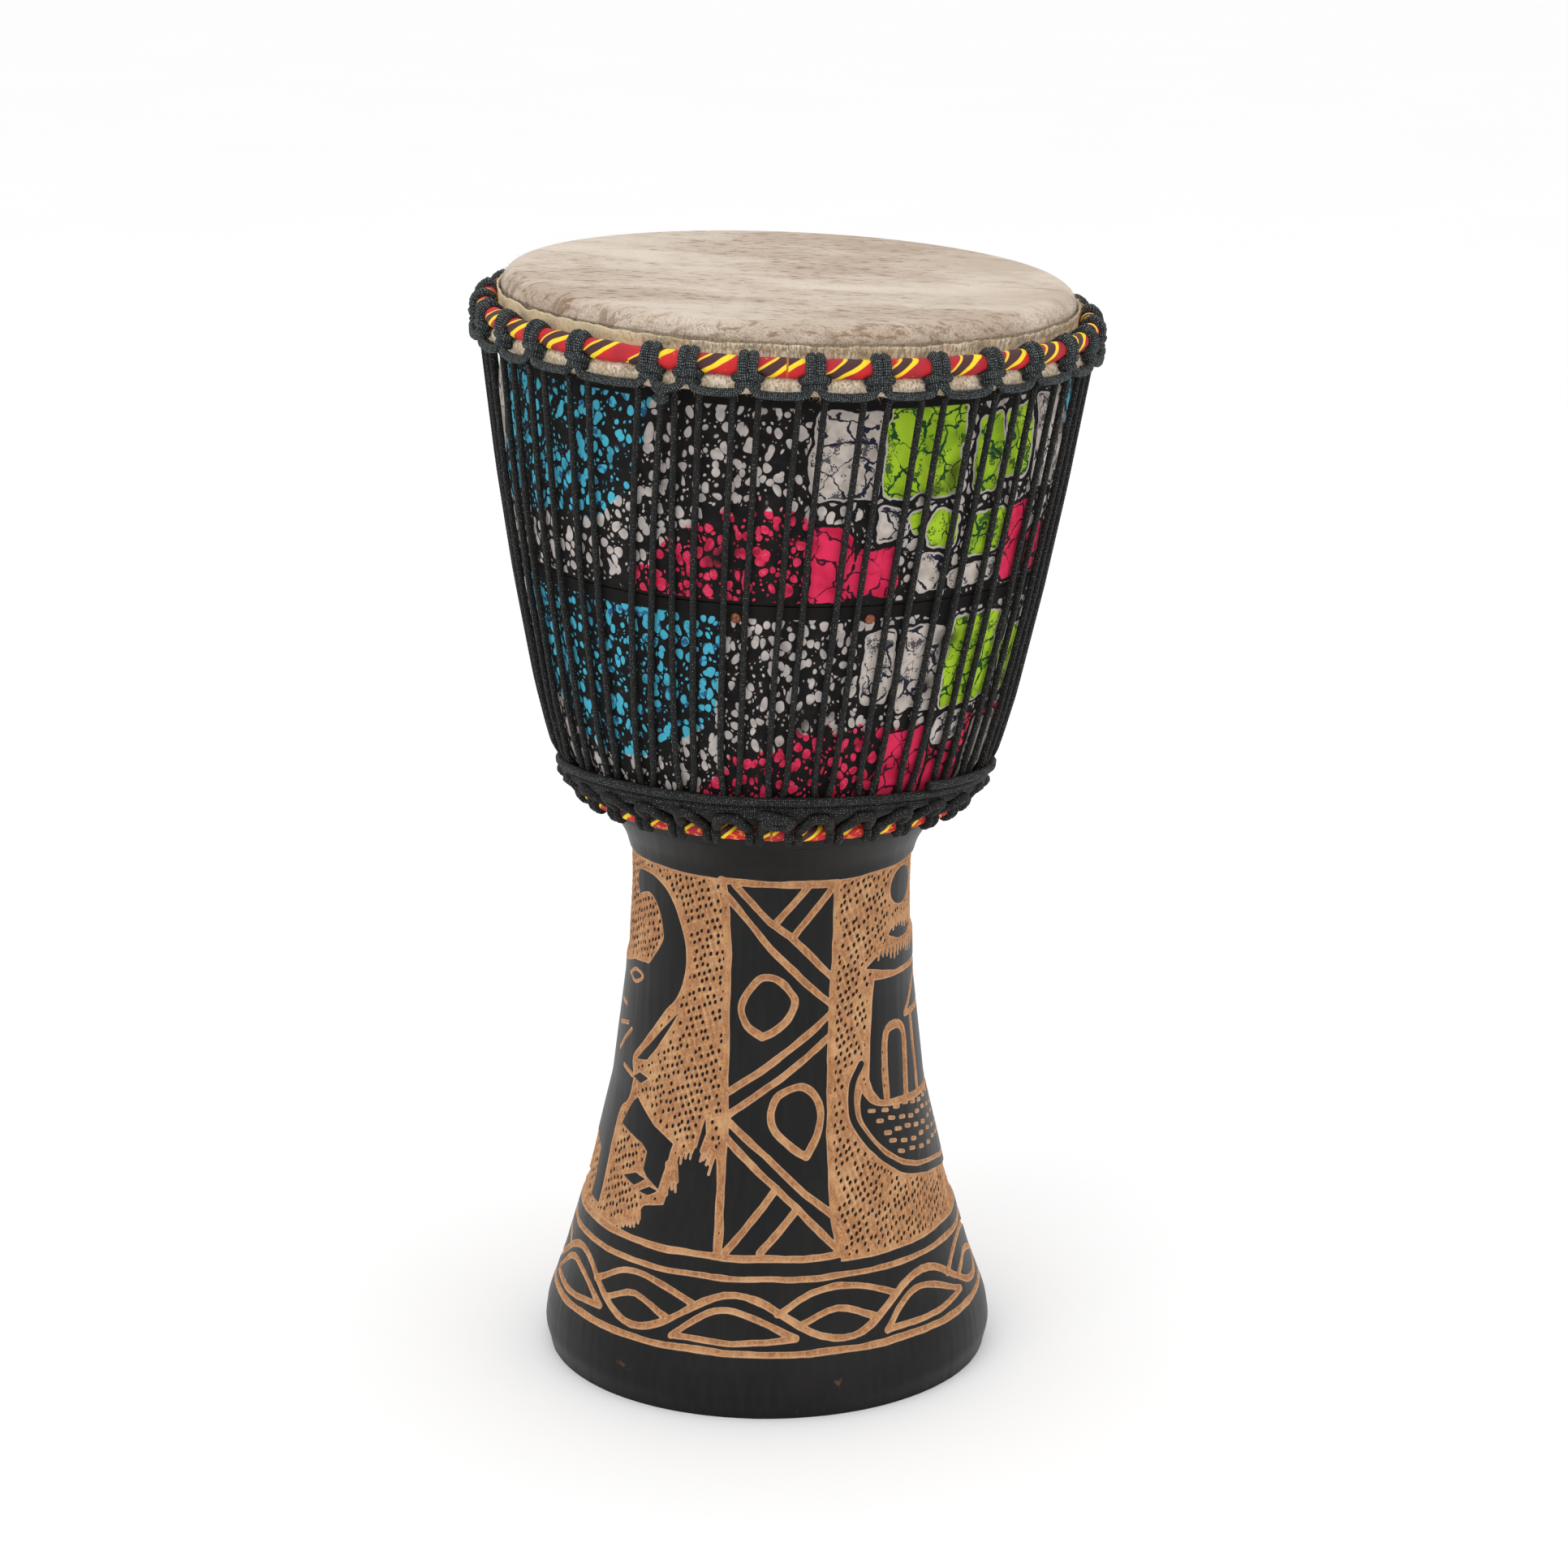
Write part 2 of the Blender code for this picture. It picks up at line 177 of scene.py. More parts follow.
def make_piece(name, points, faces, look, fields=None):
    """Mesh object from upright points, faces as an index array of quads, and named point values."""
    points = np.asarray(points, float).reshape(-1, 3)
    mesh = bpy.data.meshes.new(name)
    mesh.vertices.add(len(points))
    mesh.vertices.foreach_set("co", lean(points).astype(np.float32).ravel())
    corners = faces.shape[1]
    mesh.loops.add(faces.size)
    mesh.loops.foreach_set("vertex_index", faces.astype(np.int32).ravel())
    mesh.polygons.add(len(faces))
    mesh.polygons.foreach_set("loop_start", (np.arange(len(faces)) * corners).astype(np.int32))
    mesh.update(calc_edges=True)
    for key, values in {"place": points, **(fields or {})}.items():
        values = np.asarray(values, np.float32)
        if values.size == 3 * len(points):
            mesh.attributes.new(key, "FLOAT_VECTOR", "POINT").data.foreach_set("vector", values.ravel())
        else:
            mesh.attributes.new(key, "FLOAT", "POINT").data.foreach_set("value", values.ravel())
    mesh.shade_smooth()
    mesh.materials.append(look)
    return add_object(name, mesh)


def grid_faces(rows, columns, wrap_columns=False):
    """Quads over a grid of points; their normals are columns' direction x rows' direction."""
    index = np.arange(rows * columns).reshape(rows, columns)
    if wrap_columns:
        index = np.concatenate([index, index[:, :1]], 1)
    return np.stack([index[:-1, :-1], index[:-1, 1:], index[1:, 1:], index[1:, :-1]], -1).reshape(-1, 4)


def grid_piece(name, points, look, fields=None, **wraps):
    return make_piece(name, points, grid_faces(*points.shape[:2], **wraps), look, fields)


def settle(piece, body, slot, *nodes):
    """The piece rides on a CAD body and stands for CAD nodes, which are hidden; slot is not used."""
    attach(piece, body)
    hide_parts(*nodes)


def spline(points, per_span):
    """Smooth curve through points, as an array."""
    points = np.array(points, float)
    points = np.concatenate([2 * points[:1] - points[1:2], points, 2 * points[-1:] - points[-2:-1]])
    t = np.linspace(0.0, 1.0, per_span, endpoint=False)[:, None]
    spans = []
    for a, b, c, d in zip(points, points[1:], points[2:], points[3:]):
        spans.append(0.5 * (2 * b + (c - a) * t + (2 * a - 5 * b + 4 * c - d) * t ** 2
                            + (3 * b - a - 3 * c + d) * t ** 3))
    return np.concatenate([*spans, points[-2:-1]])


def lengths(places):
    """Distance travelled to each place on a path."""
    return np.concatenate([[0.0], np.cumsum(np.linalg.norm(np.diff(places, axis=0), axis=1))])


def whole_turn(columns):
    return np.linspace(0.0, 360.0, columns, endpoint=False)


def between_knots(offset):
    """0 at a knot, 1 half way to the next; offset counts pitches."""
    return 0.5 - 0.5 * np.cos(2.0 * np.pi * offset)


def resample(path, step, rounds=0):
    """Path at even steps, its corners rounded by averaging neighbours a number of times."""
    length = lengths(path[:, :3])
    even = np.linspace(0.0, length[-1], max(int(length[-1] / step), 3) + 1)
    path = np.stack([np.interp(even, length, column) for column in path.T], -1)
    for _ in range(rounds):
        path[1:-1] = (path[:-2] + 2.0 * path[1:-1] + path[2:]) / 4.0
    return path


def sweep(path, sides, weave=0.0, flat=1.0):
    """Rope along path rows (x, y, z, radius). Returns points, quads and rope coordinates.

    weave is the height of the braid's cells as a share of the radius, and flat squeezes the rope
    towards the drum's axis.
    """
    places, radius = path[:, :3], path[:, 3]
    along = np.gradient(places, axis=0)
    along /= np.linalg.norm(along, axis=1)[:, None]
    side = np.zeros_like(along)
    inward = -places[0] * (1.0, 1.0, 0.0)
    for i, direction in enumerate(along):
        inward = inward - (inward @ direction) * direction
        inward /= np.linalg.norm(inward)
        side[i] = inward
    cross = np.cross(along, side)
    travelled = lengths(places)
    around = np.linspace(0.0, 1.0, sides, endpoint=False)
    cell = 2.2 * ROPE
    a = 2.0 * np.pi * (BRAID * around[None, :] + travelled[:, None] / cell)
    b = 2.0 * np.pi * (BRAID * around[None, :] - travelled[:, None] / cell)
    size = radius[:, None] * (1.0 + weave * np.sin(a) * np.sin(b))
    turn = 2.0 * np.pi * around
    points = (places[:, None]
              + (size * np.cos(turn))[..., None] * side[:, None] * flat
              + (size * np.sin(turn))[..., None] * cross[:, None])
    rope = np.stack(np.broadcast_arrays(travelled[:, None], np.abs(2.0 * around - 1.0), radius[:, None]), -1)
    faces = grid_faces(len(path), sides, wrap_columns=True)[:, ::-1]
    return points.reshape(-1, 3), faces, rope.reshape(-1, 3)


BRAID = 4                   # braid cells round a rope


def rope_piece(name, paths, sides, weave, look, flat=1.0):
    """Several ropes in one mesh, with closed ends."""
    points, faces, coords, first = [], [], [], 0
    for path in paths:
        tube, quads, rope = sweep(path, sides, weave, flat)
        ends = []
        for start in (0, len(tube) - sides):
            ring = np.arange(start, start + sides)
            ring = ring if start == 0 else ring[::-1]
            for k in range(1, sides // 2):
                ends.append((ring[k - 1], ring[k], ring[sides - k - 1], ring[sides - k]))
        quads = np.concatenate([quads, np.array(ends)])
        points.append(tube)
        faces.append(quads + first)
        coords.append(rope)
        first += len(tube)
    return make_piece(name, np.concatenate(points), np.concatenate(faces), look,
                      {"rope": np.concatenate(coords)})


# ---------------------------------------------------------------- material helpers

class Look:
    """A material under construction: short calls that add nodes and return their output sockets."""

    def __init__(self, name, roughness, **shader):
        self.material = bpy.data.materials.new(name)
        self.material.use_nodes = True
        self.tree = self.material.node_tree
        self.shader = self.tree.nodes["Principled BSDF"]
        self.shader.inputs["Roughness"].default_value = roughness
        for key, value in shader.items():
            self.shader.inputs[key.replace("_", " ")].default_value = value

    def put(self, socket, value):
        """Link a socket or set a value; a colour may be an sRGB hex code."""
        if isinstance(value, str):
            value = tone(value)
        if isinstance(value, bpy.types.NodeSocket):
            self.tree.links.new(value, socket)
        elif isinstance(value, tuple) and len(value) == 3 and socket.type == "RGBA":
            socket.default_value = (*value, 1.0)
        else:
            socket.default_value = value

    def node(self, kind, inputs, output=0, **settings):
        made = self.tree.nodes.new("ShaderNode" + kind)
        for key, value in settings.items():
            setattr(made, key, value)
        for key, value in inputs.items():
            self.put(made.inputs[key], value)
        return made.outputs[output]

    def attribute(self, name, output="Vector"):
        return self.node("Attribute", {}, output, attribute_name=name)

    def value(self, name):
        return self.attribute(name, "Fac")

    def parts(self, vector):
        made = self.tree.nodes.new("ShaderNodeSeparateXYZ")
        self.put(made.inputs[0], vector)
        return made.outputs

    def vector(self, x, y, z=0.0):
        return self.node("CombineXYZ", {0: x, 1: y, 2: z})

    def math(self, operation, a, b=0.0, c=0.0):
        return self.node("Math", {0: a, 1: b, 2: c}, operation=operation)

    def times(self, first, *others):
        """Product of numbers or masks."""
        for other in others:
            first = self.math("MULTIPLY", first, other)
        return first

    def plus(self, a, b):
        return self.math("ADD", a, b)

    def minus(self, a, b):
        return self.math("SUBTRACT", a, b)

    def scaled(self, value, factor, offset):
        return self.math("MULTIPLY_ADD", value, factor, offset)

    def either(self, a, b):
        return self.math("MAXIMUM", a, b)

    def sine(self, value):
        return self.math("SINE", value)

    def scale(self, vector, factors):
        return self.node("VectorMath", {0: vector, 1: factors}, operation="MULTIPLY")

    def add(self, a, b):
        return self.node("VectorMath", {0: a, 1: b}, operation="ADD")

    def noise(self, vector, scale, detail=2.0, output=0, roughness=0.5):
        return self.node("TexNoise", {"Vector": vector, "Scale": scale, "Detail": detail,
                                      "Roughness": roughness}, output)

    def grain(self, vector, factors, scale, detail, roughness=0.5):
        """Noise stretched along the axes whose factors are small."""
        return self.noise(self.scale(vector, factors), scale, detail, roughness=roughness)

    def voronoi(self, vector, scale, feature="F1", output=0, randomness=1.0):
        return self.node("TexVoronoi", {"Vector": vector, "Scale": scale, "Randomness": randomness},
                         output, feature=feature)

    def step(self, value, low, high):
        """0 below low, 1 above high, smooth between; low above high turns it round."""
        return self.node("MapRange", {0: value, 1: low, 2: high, 3: 0.0, 4: 1.0},
                         interpolation_type="SMOOTHSTEP")

    def mix(self, factor, a, b):
        return self.node("Mix", {0: factor, 6: a, 7: b}, 2, data_type="RGBA")

    def warp(self, vector, scale, amount, detail=1.0):
        """Vector pushed about by noise, by up to about half of amount."""
        centred = self.node("VectorMath", {0: self.noise(vector, scale, detail, 1), 1: (0.5, 0.5, 0.5)},
                            operation="SUBTRACT")
        return self.add(vector, self.scale(centred, (amount, amount, amount)))

    def finish(self, colour, height=None, depth=0.001, strength=0.5, roughness=None):
        self.put(self.shader.inputs["Base Color"], colour)
        if roughness is not None:
            self.put(self.shader.inputs["Roughness"], roughness)
        if height is not None:
            bump = self.node("Bump", {"Height": height, "Strength": strength, "Distance": depth})
            self.put(self.shader.inputs["Normal"], bump)
        return self.material


def tone(code):
    """Linear colour of an sRGB hex code."""
    channels = [int(code[i:i + 2], 16) / 255.0 for i in (0, 2, 4)]
    return tuple(c / 12.92 if c <= 0.04045 else ((c + 0.055) / 1.055) ** 2.4 for c in channels)


# ---------------------------------------------------------------- carving on the stem

class Carving:
    """Signed distance to the cuts over the unrolled stem: above 0 is paint, below 0 is bare wood."""

    def __init__(self, degrees, heights, radii, wobble, thick):
        self.az, self.z = degrees + wobble[0], heights + wobble[1]
        self.scale = np.radians(1.0) * radii
        self.thick = thick
        self.field = np.full(np.broadcast(self.az, self.z).shape, 0.010)

    def near(self, points, margin=0.012):
        """Slice of the grid's rows and columns round some points."""
        az, z = np.array(points, float).T
        turn = margin / 0.0013
        columns = np.nonzero((self.az.max(0) > az.min() - turn) & (self.az.min(0) < az.max() + turn))[0]
        rows = np.nonzero((self.z.max(1) > z.min() - margin) & (self.z.min(1) < z.max() + margin))[0]
        if len(columns) == 0 or len(rows) == 0:
            return None
        return slice(rows[0], rows[-1] + 1), slice(columns[0], columns[-1] + 1)

    def distance(self, part, points, closed=False):
        az, z, scale = self.az[part], self.z[part], self.scale[part]
        points = list(points) + ([points[0]] if closed else [])
        nearest = np.full(az.shape, 1.0)
        for (az0, z0), (az1, z1) in zip(points, points[1:]):
            px, pz = (az - az0) * scale, z - z0
            dx, dz = (az1 - az0) * scale, z1 - z0
            t = np.clip((px * dx + pz * dz) / (dx * dx + dz * dz + 1e-12), 0.0, 1.0)
            nearest = np.minimum(nearest, np.hypot(px - t * dx, pz - t * dz))
        return nearest

    def inside(self, part, points):
        az, z = self.az[part], self.z[part]
        odd = np.zeros(az.shape, bool)
        for (az0, z0), (az1, z1) in zip(points, list(points[1:]) + [points[0]]):
            if z0 == z1:
                continue
            crosses = (z0 > z) != (z1 > z)
            odd ^= crosses & (az < (az1 - az0) * (z - z0) / (z1 - z0) + az0)
        return odd

    def merge(self, part, signed, paint):
        """Cut where signed is below 0, or leave paint there."""
        if paint:
            self.field[part] = np.maximum(self.field[part], -signed)
        else:
            self.field[part] = np.minimum(self.field[part], signed)

    def groove(self, points, half=0.0021, paint=False):
        """A line cut along points, or left in paint across a cut field."""
        part = self.near(points)
        if part is None:
            return
        self.merge(part, self.distance(part, points) - half * self.thick[part], paint)

    def area(self, points, paint=False):
        """A closed outline cut away, or left in paint."""
        part = self.near(points)
        if part is None:
            return
        edge = self.distance(part, points, closed=True)
        self.merge(part, np.where(self.inside(part, points), -edge, edge), paint)

    def teeth(self, points, length, count, drift=0.0):
        """Short tapering cuts hanging from a line."""
        line = resample(np.column_stack([points, np.zeros(len(points))]), 1e-6)[:, :2]
        for k in range(count):
            az, z = line[int((k + 0.5) / count * (len(line) - 1))]
            reach = length * (1.0 + 0.25 * math.sin(5.1 * k))
            self.groove([(az, z + 0.001), (az + drift, z - 0.55 * reach)], 0.0017)
            self.groove([(az, z), (az + 1.3 * drift, z - reach)], 0.0009)


# The carving's lines are (azimuth, height), read from the photo. The figures in carve_left and
# carve_right follow its artwork closely; they are not generic. The back is the front mirrored.
TOP_BORDER, MIRROR_LEFT, MIRROR_RIGHT = 0.2885, -86.0, 94.0
LEFT_UPRIGHT = ((-19.5, .288), (-18.5, .2775), (-17, .2475), (-16.8, .21), (-16, .1725), (-15.2, .1225),
                (-14.8, .0875))
RIGHT_UPRIGHT = ((27.3, .285), (27.2, .26), (25.2, .215), (23.5, .1725), (22, .1225), (21.6, .1025),
                 (22.5, .0863))


def carve_centre(carving):
    """Upright panel of crossing bars with a leaf in each diamond."""
    bars = (
        ((-14.5, .286), (0, .2665), (8, .2583), (25.3, .234)),
        ((-19, .2815), (-8, .265), (0, .252), (14, .2325), (25, .2188)),
        ((14.5, .2858), (2, .2655)), ((25, .2843), (8.8, .2575)),
        ((25, .2145), (0, .1875), (-16, .1705)), ((24.5, .2025), (0, .176), (-14.5, .159)),
        ((-15, .1565), (0, .1375), (10, .122), (21.5, .1045)),
        ((-15, .147), (1.5, .1235), (9.5, .111), (22, .0865)),
        ((3, .1213), (-12.5, .0875)), ((9.5, .11), (-2, .0875)),
    )
    for bar in bars:
        carving.groove(bar, 0.0020)
    leaves = (
        ((-2.5, .203), (-8, .208), (-10.5, .2155), (-10, .2225), (-7, .230), (-3, .2352), (3, .2345),
         (8, .2275), (9.8, .2215), (7, .2125), (2, .206), (-2.5, .203)),
        ((13.5, .138), (8, .1435), (3, .1505), (.8, .1575), (1.5, .165), (4, .1715), (10, .1755),
         (14.5, .174), (18, .168), (19.3, .159), (18, .149), (13.5, .138)),
    )
    for leaf in leaves:
        carving.groove(spline(leaf, 4), 0.0021)


def carve_left(carving):
    """Figure panel on the left: an elephant with its trunk raised, and a fringe below."""
    edge = MIRROR_LEFT - 6.0
    carving.area([(edge, .085), (edge, TOP_BORDER), (-19.5, TOP_BORDER), *LEFT_UPRIGHT[1:]])
    trunk = spline(((-68.9, .2725), (-66.4, .2802), (-59.5, .2815), (-52.7, .2802), (-43.6, .2716),
                    (-36.8, .2540), (-35, .2380), (-38.2, .220), (-45.5, .2075), (-56.4, .1872),
                    (-62, .176), (-60, .165), (-62, .152), (-67, .140), (-66.5, .092)), 5)
    body = [*trunk, (-74, .092), (-76, .118), (edge, .124), (edge, .2195), (-74.5, .2255)]
    oval = spline(((-68.6, .2286), (-60, .2302), (-55.5, .2317), (-49.1, .2434), (-47.7, .2505),
                   (-51.4, .2637), (-58.2, .2708), (-66.4, .2665)), 5)
    carving.area(body + [*oval], paint=True)
    carving.groove(spline(((-74, .2185), (-67, .2235), (-60.5, .2222), (-67, .2165), (-74, .2185)), 5),
                   0.0010)
    for mark in (((-80, .188), (-70, .192)), ((-76, .175), (-66, .190)), ((-69, .1685), (-61, .1665)),
                 ((-82, .200), (-74.5, .2008))):
        carving.groove(mark, 0.0013)
    carving.area([(-59, .1768), (-37.5, .2103), (-41, .2015), (-47, .1880), (-52, .1790)], paint=True)
    carving.area([(-60, .1665), (-56, .1706), (-50.5, .1695), (-55, .1650)], paint=True)
    belly = [(-58, .1535), (-55.5, .1567), (-43.6, .145), (-34.5, .1387), (-37, .123), (-38, .1135),
             (-44, .118), (-46, .1215), (-45.5, .1310), (-48.6, .1345), (-62.5, .1385)]
    carving.area(belly, paint=True)
    carving.area([(-55, .1140), (-49, .1180), (-44.5, .1165), (-49, .1115)], paint=True)
    carving.area([(-46.5, .1095), (-42, .1135), (-38.2, .1125), (-42, .1090)], paint=True)
    ground = [(-54, .0860), (-49.5, .0905), (-46, .0955), (-43.0, .1030), (-35.0, .1065), (-33.5, .1200),
              (-31.5, .1340), (-25.0, .1400), (-23.0, .1560), (-21.5, .1420), (-17.5, .1350), (-16, .110),
              (-15.5, .0860)]
    carving.area(ground, paint=True)
    carving.teeth([(-53, .0895), (-44, .0995)], 0.0050, 6, 0.8)
    carving.teeth([(-36.5, .1270), (-32, .1270)], 0.0150, 3, 1.0)
    carving.teeth([(-31, .1400), (-25.5, .1430)], 0.0110, 3, -0.6)
    carving.teeth([(-24.5, .1560), (-23.0, .1580)], 0.0150, 1, -2.4)
    carving.teeth([(-22.0, .1460), (-17.5, .1390)], 0.0120, 4, -1.4)


def carve_right(carving):
    """Figure panel on the right: fringed shapes over a vessel with an arched opening and a dotted hull."""
    edge = MIRROR_RIGHT + 6.0
    carving.area([(edge, .0805), (22.5, .0805), *RIGHT_UPRIGHT[::-1],
                  (27.3, TOP_BORDER), (edge, TOP_BORDER)])
    turns = np.linspace(0.0, 2.0 * np.pi, 25)[:-1]
    carving.area([(65.2 + 8.8 * math.cos(t), .2747 + .0104 * math.sin(t)) for t in turns], paint=True)
    carving.area([(55, .2497), (60.6, .2560), (67.5, .2570), (75.5, .2490), (71, .2450), (62.9, .2447)],
                 paint=True)
    carving.teeth([(57.5, .2575), (73, .2575)], 0.0060, 6)
    awning = [(41.3, .2345), (46, .2385), (50, .2425), (edge, .2410), (edge, .2260), (60.2, .2285)]
    carving.area(awning, paint=True)
    carving.teeth([(47, .2440), (edge, .2400)], 0.0062, 19)
    hull = spline(((36.8, .1720), (39.5, .1650), (44.7, .1590), (58.4, .1555), (edge, .1500)), 5)
    cabin = [(45.9, .2265), (44.7, .2153), (42, .1934), (40.4, .1740), (42, .1670), *hull[11:],
             (edge, .2215)]
    carving.area(cabin, paint=True)
    carving.groove(spline(((48.9, .158), (49.2, .178), (51.0, .1955), (58, .1985), (63.5, .1925),
                           (62.8, .176), (61.4, .158)), 4), 0.0026)
    carving.groove(((66.5, .2010), (80, .2150), (edge, .2180)), 0.0018)
    carving.groove(((66.5, .2005), (edge, .1975)), 0.0018)
    carving.groove(((72.2, .2000), (71.5, .1650), (70.5, .1330)), 0.0022)
    keel = spline(((37.2, .1700), (35.6, .1600), (37, .1497), (44.7, .1340), (58.4, .1216),
                   (edge, .1070)), 5)
    carving.area([*keel, *hull[::-1]], paint=True)
    carving.groove(hull, 0.0020)
    band = spline(((36.8, .1835), (32.6, .1740), (31.6, .1610), (33.3, .1500), (40.2, .1345), (47.5, .1240),
                   (58, .1165), (edge, .1020)), 5)
    carving.groove(band, 0.0020, paint=True)
    for row in range(5):
        for k in range(9):
            az = 39.5 + 6.1 * k + 2.6 * (row % 2) + 0.8 * math.sin(7.0 * k + row)
            z = .1565 - .0062 * row - .00018 * (az - 38) + .0008 * math.sin(11.0 * k + 3.0 * row)
            if z > np.interp(az, keel[:, 0], keel[:, 1]) + 0.003:
                carving.groove(((az, z), (az + 2.4, z - .0008)), 0.0012)


def carve_foot(carving):
    """Borders and the braid of waves and leaves round the foot."""
    ring = np.arange(-190.0, 191.0, 5.0)
    for z, swing, half in ((.0838, .0008, .0019), (.0728, .0012, .0017), (.0348, .0010, .0019)):
        carving.groove([(az, z + swing * math.cos(math.radians(az + 10.0))) for az in ring], half)
    steps = np.arange(-189.0, 190.0, 3.0)
    wave = [(az, .0535 + .0120 * math.cos(math.radians(6.0 * (az + 9.0)))) for az in steps]
    carving.groove(wave, 0.0020)
    for k in range(-4, 5):
        low, crest = 21.0 + 60.0 * k, -9.0 + 60.0 * k
        carving.groove(spline(((low - 18, .0560), (low - 9, .0655), (low - 1, .0682), (low + 9, .0655),
                               (low + 19, .0580)), 4), 0.0018)
        carving.groove(spline(((low - 12, .0500), (low - 1, .0568), (low + 11, .0492)), 4), 0.0018)
        carving.groove(spline(((crest - 17, .0410), (crest - 9, .0535), (crest - 2, .0572),
                               (crest + 7, .0525), (crest + 17, .0438)), 4), 0.0018)
        carving.groove(spline(((crest - 17, .0412), (crest, .0408), (crest + 17, .0436)), 4), 0.0017)


def hatch_lattice(x, z):
    """Row and column of a place on the slanted lattice of chisel strokes."""
    return x / HATCH_ACROSS + z / 0.0095, z / HATCH_UP - x / 0.0105


def punched(az, z, radius):
    """Small pits left by the point of the chisel, on a slanted lattice, from 0 to 1."""
    x = np.radians(az) * radius
    i, j = hatch_lattice(x, z)
    cell_i, cell_j = np.floor(i), np.floor(j)
    rng = np.random.default_rng(11)
    jitter = rng.uniform(-0.20, 0.20, (97, 97, 2))
    keep = rng.uniform(0.0, 1.0, (97, 97)) < 0.84
    a, b = cell_i.astype(int) % 97, cell_j.astype(int) % 97
    across = (i - cell_i - 0.5 - jitter[a, b, 0]) * 1.25
    up = (j - cell_j - 0.5 - jitter[a, b, 1]) * 1.45
    return keep[a, b] * np.clip(1.0 - np.hypot(across, up - 0.4 * across) / 0.46, 0.0, 1.0)


def woven(az, z, radius):
    """Raised ridges left between two slanted rows of chisel strokes, from 0 to 1."""
    x = np.radians(az) * radius
    i, j = hatch_lattice(x, z)
    bend = 0.35 * noise(x / 0.012, z / 0.012, 15)
    first = np.abs(np.sin(np.pi * (i + bend)))
    second = np.abs(np.sin(np.pi * (j - bend)))
    return np.maximum(1.0 - first, 1.0 - second) ** 1.5


def carve_stem():
    """Heights of the carved surface over the whole stem, with the fields its material reads."""
    columns, rows = 881, 400
    degrees = np.linspace(-180.0, 180.0, columns)[None, :].repeat(rows, 0)
    heights = np.linspace(0.0, STEM_TOP, rows)[:, None].repeat(columns, 1)
    radii = outside_radius(heights)
    x = np.radians(degrees) * radii
    wobble = (0.45 * fractal(x / 0.018, heights / 0.018, 3), 0.0007 * fractal(x / 0.02, heights / 0.02, 5))
    thick = 1.0 + 0.16 * fractal(x / 0.012, heights / 0.012, 7)
    front = np.where((degrees >= MIRROR_LEFT) & (degrees <= MIRROR_RIGHT), degrees,
                     (2.0 * MIRROR_RIGHT - degrees + 180.0) % 360.0 - 180.0)
    order = np.argsort(front[0], kind="stable")
    sorted_grid = Carving(front[:, order], heights[:, order], radii[:, order],
                          (wobble[0][:, order], wobble[1][:, order]), thick[:, order])
    carve_left(sorted_grid)
    carve_right(sorted_grid)
    sorted_grid.groove([(-19.5, .2878), (0, .2876), (27, .2866)], 0.0021)
    sorted_grid.groove(LEFT_UPRIGHT, 0.0024)
    sorted_grid.groove(RIGHT_UPRIGHT, 0.0024)
    carve_centre(sorted_grid)
    cut = np.empty_like(radii)
    cut[:, order] = sorted_grid.field
    foot = Carving(degrees, heights, radii, wobble, thick)
    carve_foot(foot)
    cut = np.minimum(cut, foot.field)
    return degrees, heights, radii, cut


def make_stem(look):
    degrees, heights, radii, cut = carve_stem()
    x = np.radians(degrees) * radii
    floor = smoothstep(0.0, 0.0016, -cut)
    open_field = smoothstep(0.0028, 0.0040, -cut)
    pits = punched(degrees, heights, radii) * smoothstep(0.0020, 0.0030, -cut)
    strokes = 0.5 + 0.5 * np.sin(x / 0.00057 + heights / 0.0016 + 2.0 * noise(x / 0.01, heights / 0.01, 2))
    gouges = open_field * (0.35 * strokes + 0.65 * (1.0 - woven(degrees, heights, radii)))
    depth = 0.0012 * floor + 0.0008 * pits + 0.00045 * gouges
    depth += 0.00012 * floor * noise(x / 0.0011, heights / 0.0016, 21)
    chisel = 0.00016 * noise(x / 0.016, heights / 0.05, 31) + 0.00008 * noise(x / 0.004, heights / 0.03, 32)
    surface = polar(degrees, radii - depth + chisel, heights)
    sectors = 4
    width = (surface.shape[1] - 1) // sectors
    for k in range(sectors):
        part = np.s_[:, k * width:(k + 1) * width + 1]
        # The pit and gouge masks also set the painted shade in the pits and gouges and the painted highlight
        # on the ridges.
        fields = {"cut": cut[part], "pit": pits[part], "gouge": gouges[part]}
        piece = grid_piece(f"carved_stem_{k + 1}", surface[part], look, fields)
        settle(piece, BODY, "black_wood", "shell")


def make_bowl_wood(look):
    """Outside of the bowl and the bearing edge, under the cloth and the skin."""
    columns = 240
    az = whole_turn(columns)
    arc = np.radians(np.linspace(0.0, 90.0, 8))
    inset = SKIN + FIT
    crown_r = EDGE_ARC_R + (EDGE_ROUND - inset) * np.cos(arc)
    crown_z = HEIGHT - EDGE_ROUND + (EDGE_ROUND - inset) * np.sin(arc)
    z = np.concatenate([np.arange(STEM_TOP, 0.5880, 0.0028), crown_z])
    r = np.concatenate([outside_radius(z[:-len(arc)]) - 0.0004 * (z[:-len(arc)] > 0.345), crown_r])
    lift = 0.0002 * noise(az[None, :] / 9.0, z[:, None] / 0.02, 41)
    lift[0] = 0.0
    lift[:, -1] = lift[:, 0]
    painted = {"cut": np.full(lift.shape, ALL_PAINT)}
    points = polar(az, r[:, None] + lift, z[:, None])
    piece = grid_piece("bowl_wood", points, look, painted, wrap_columns=True)
    settle(piece, BODY, "black_wood", "shell")


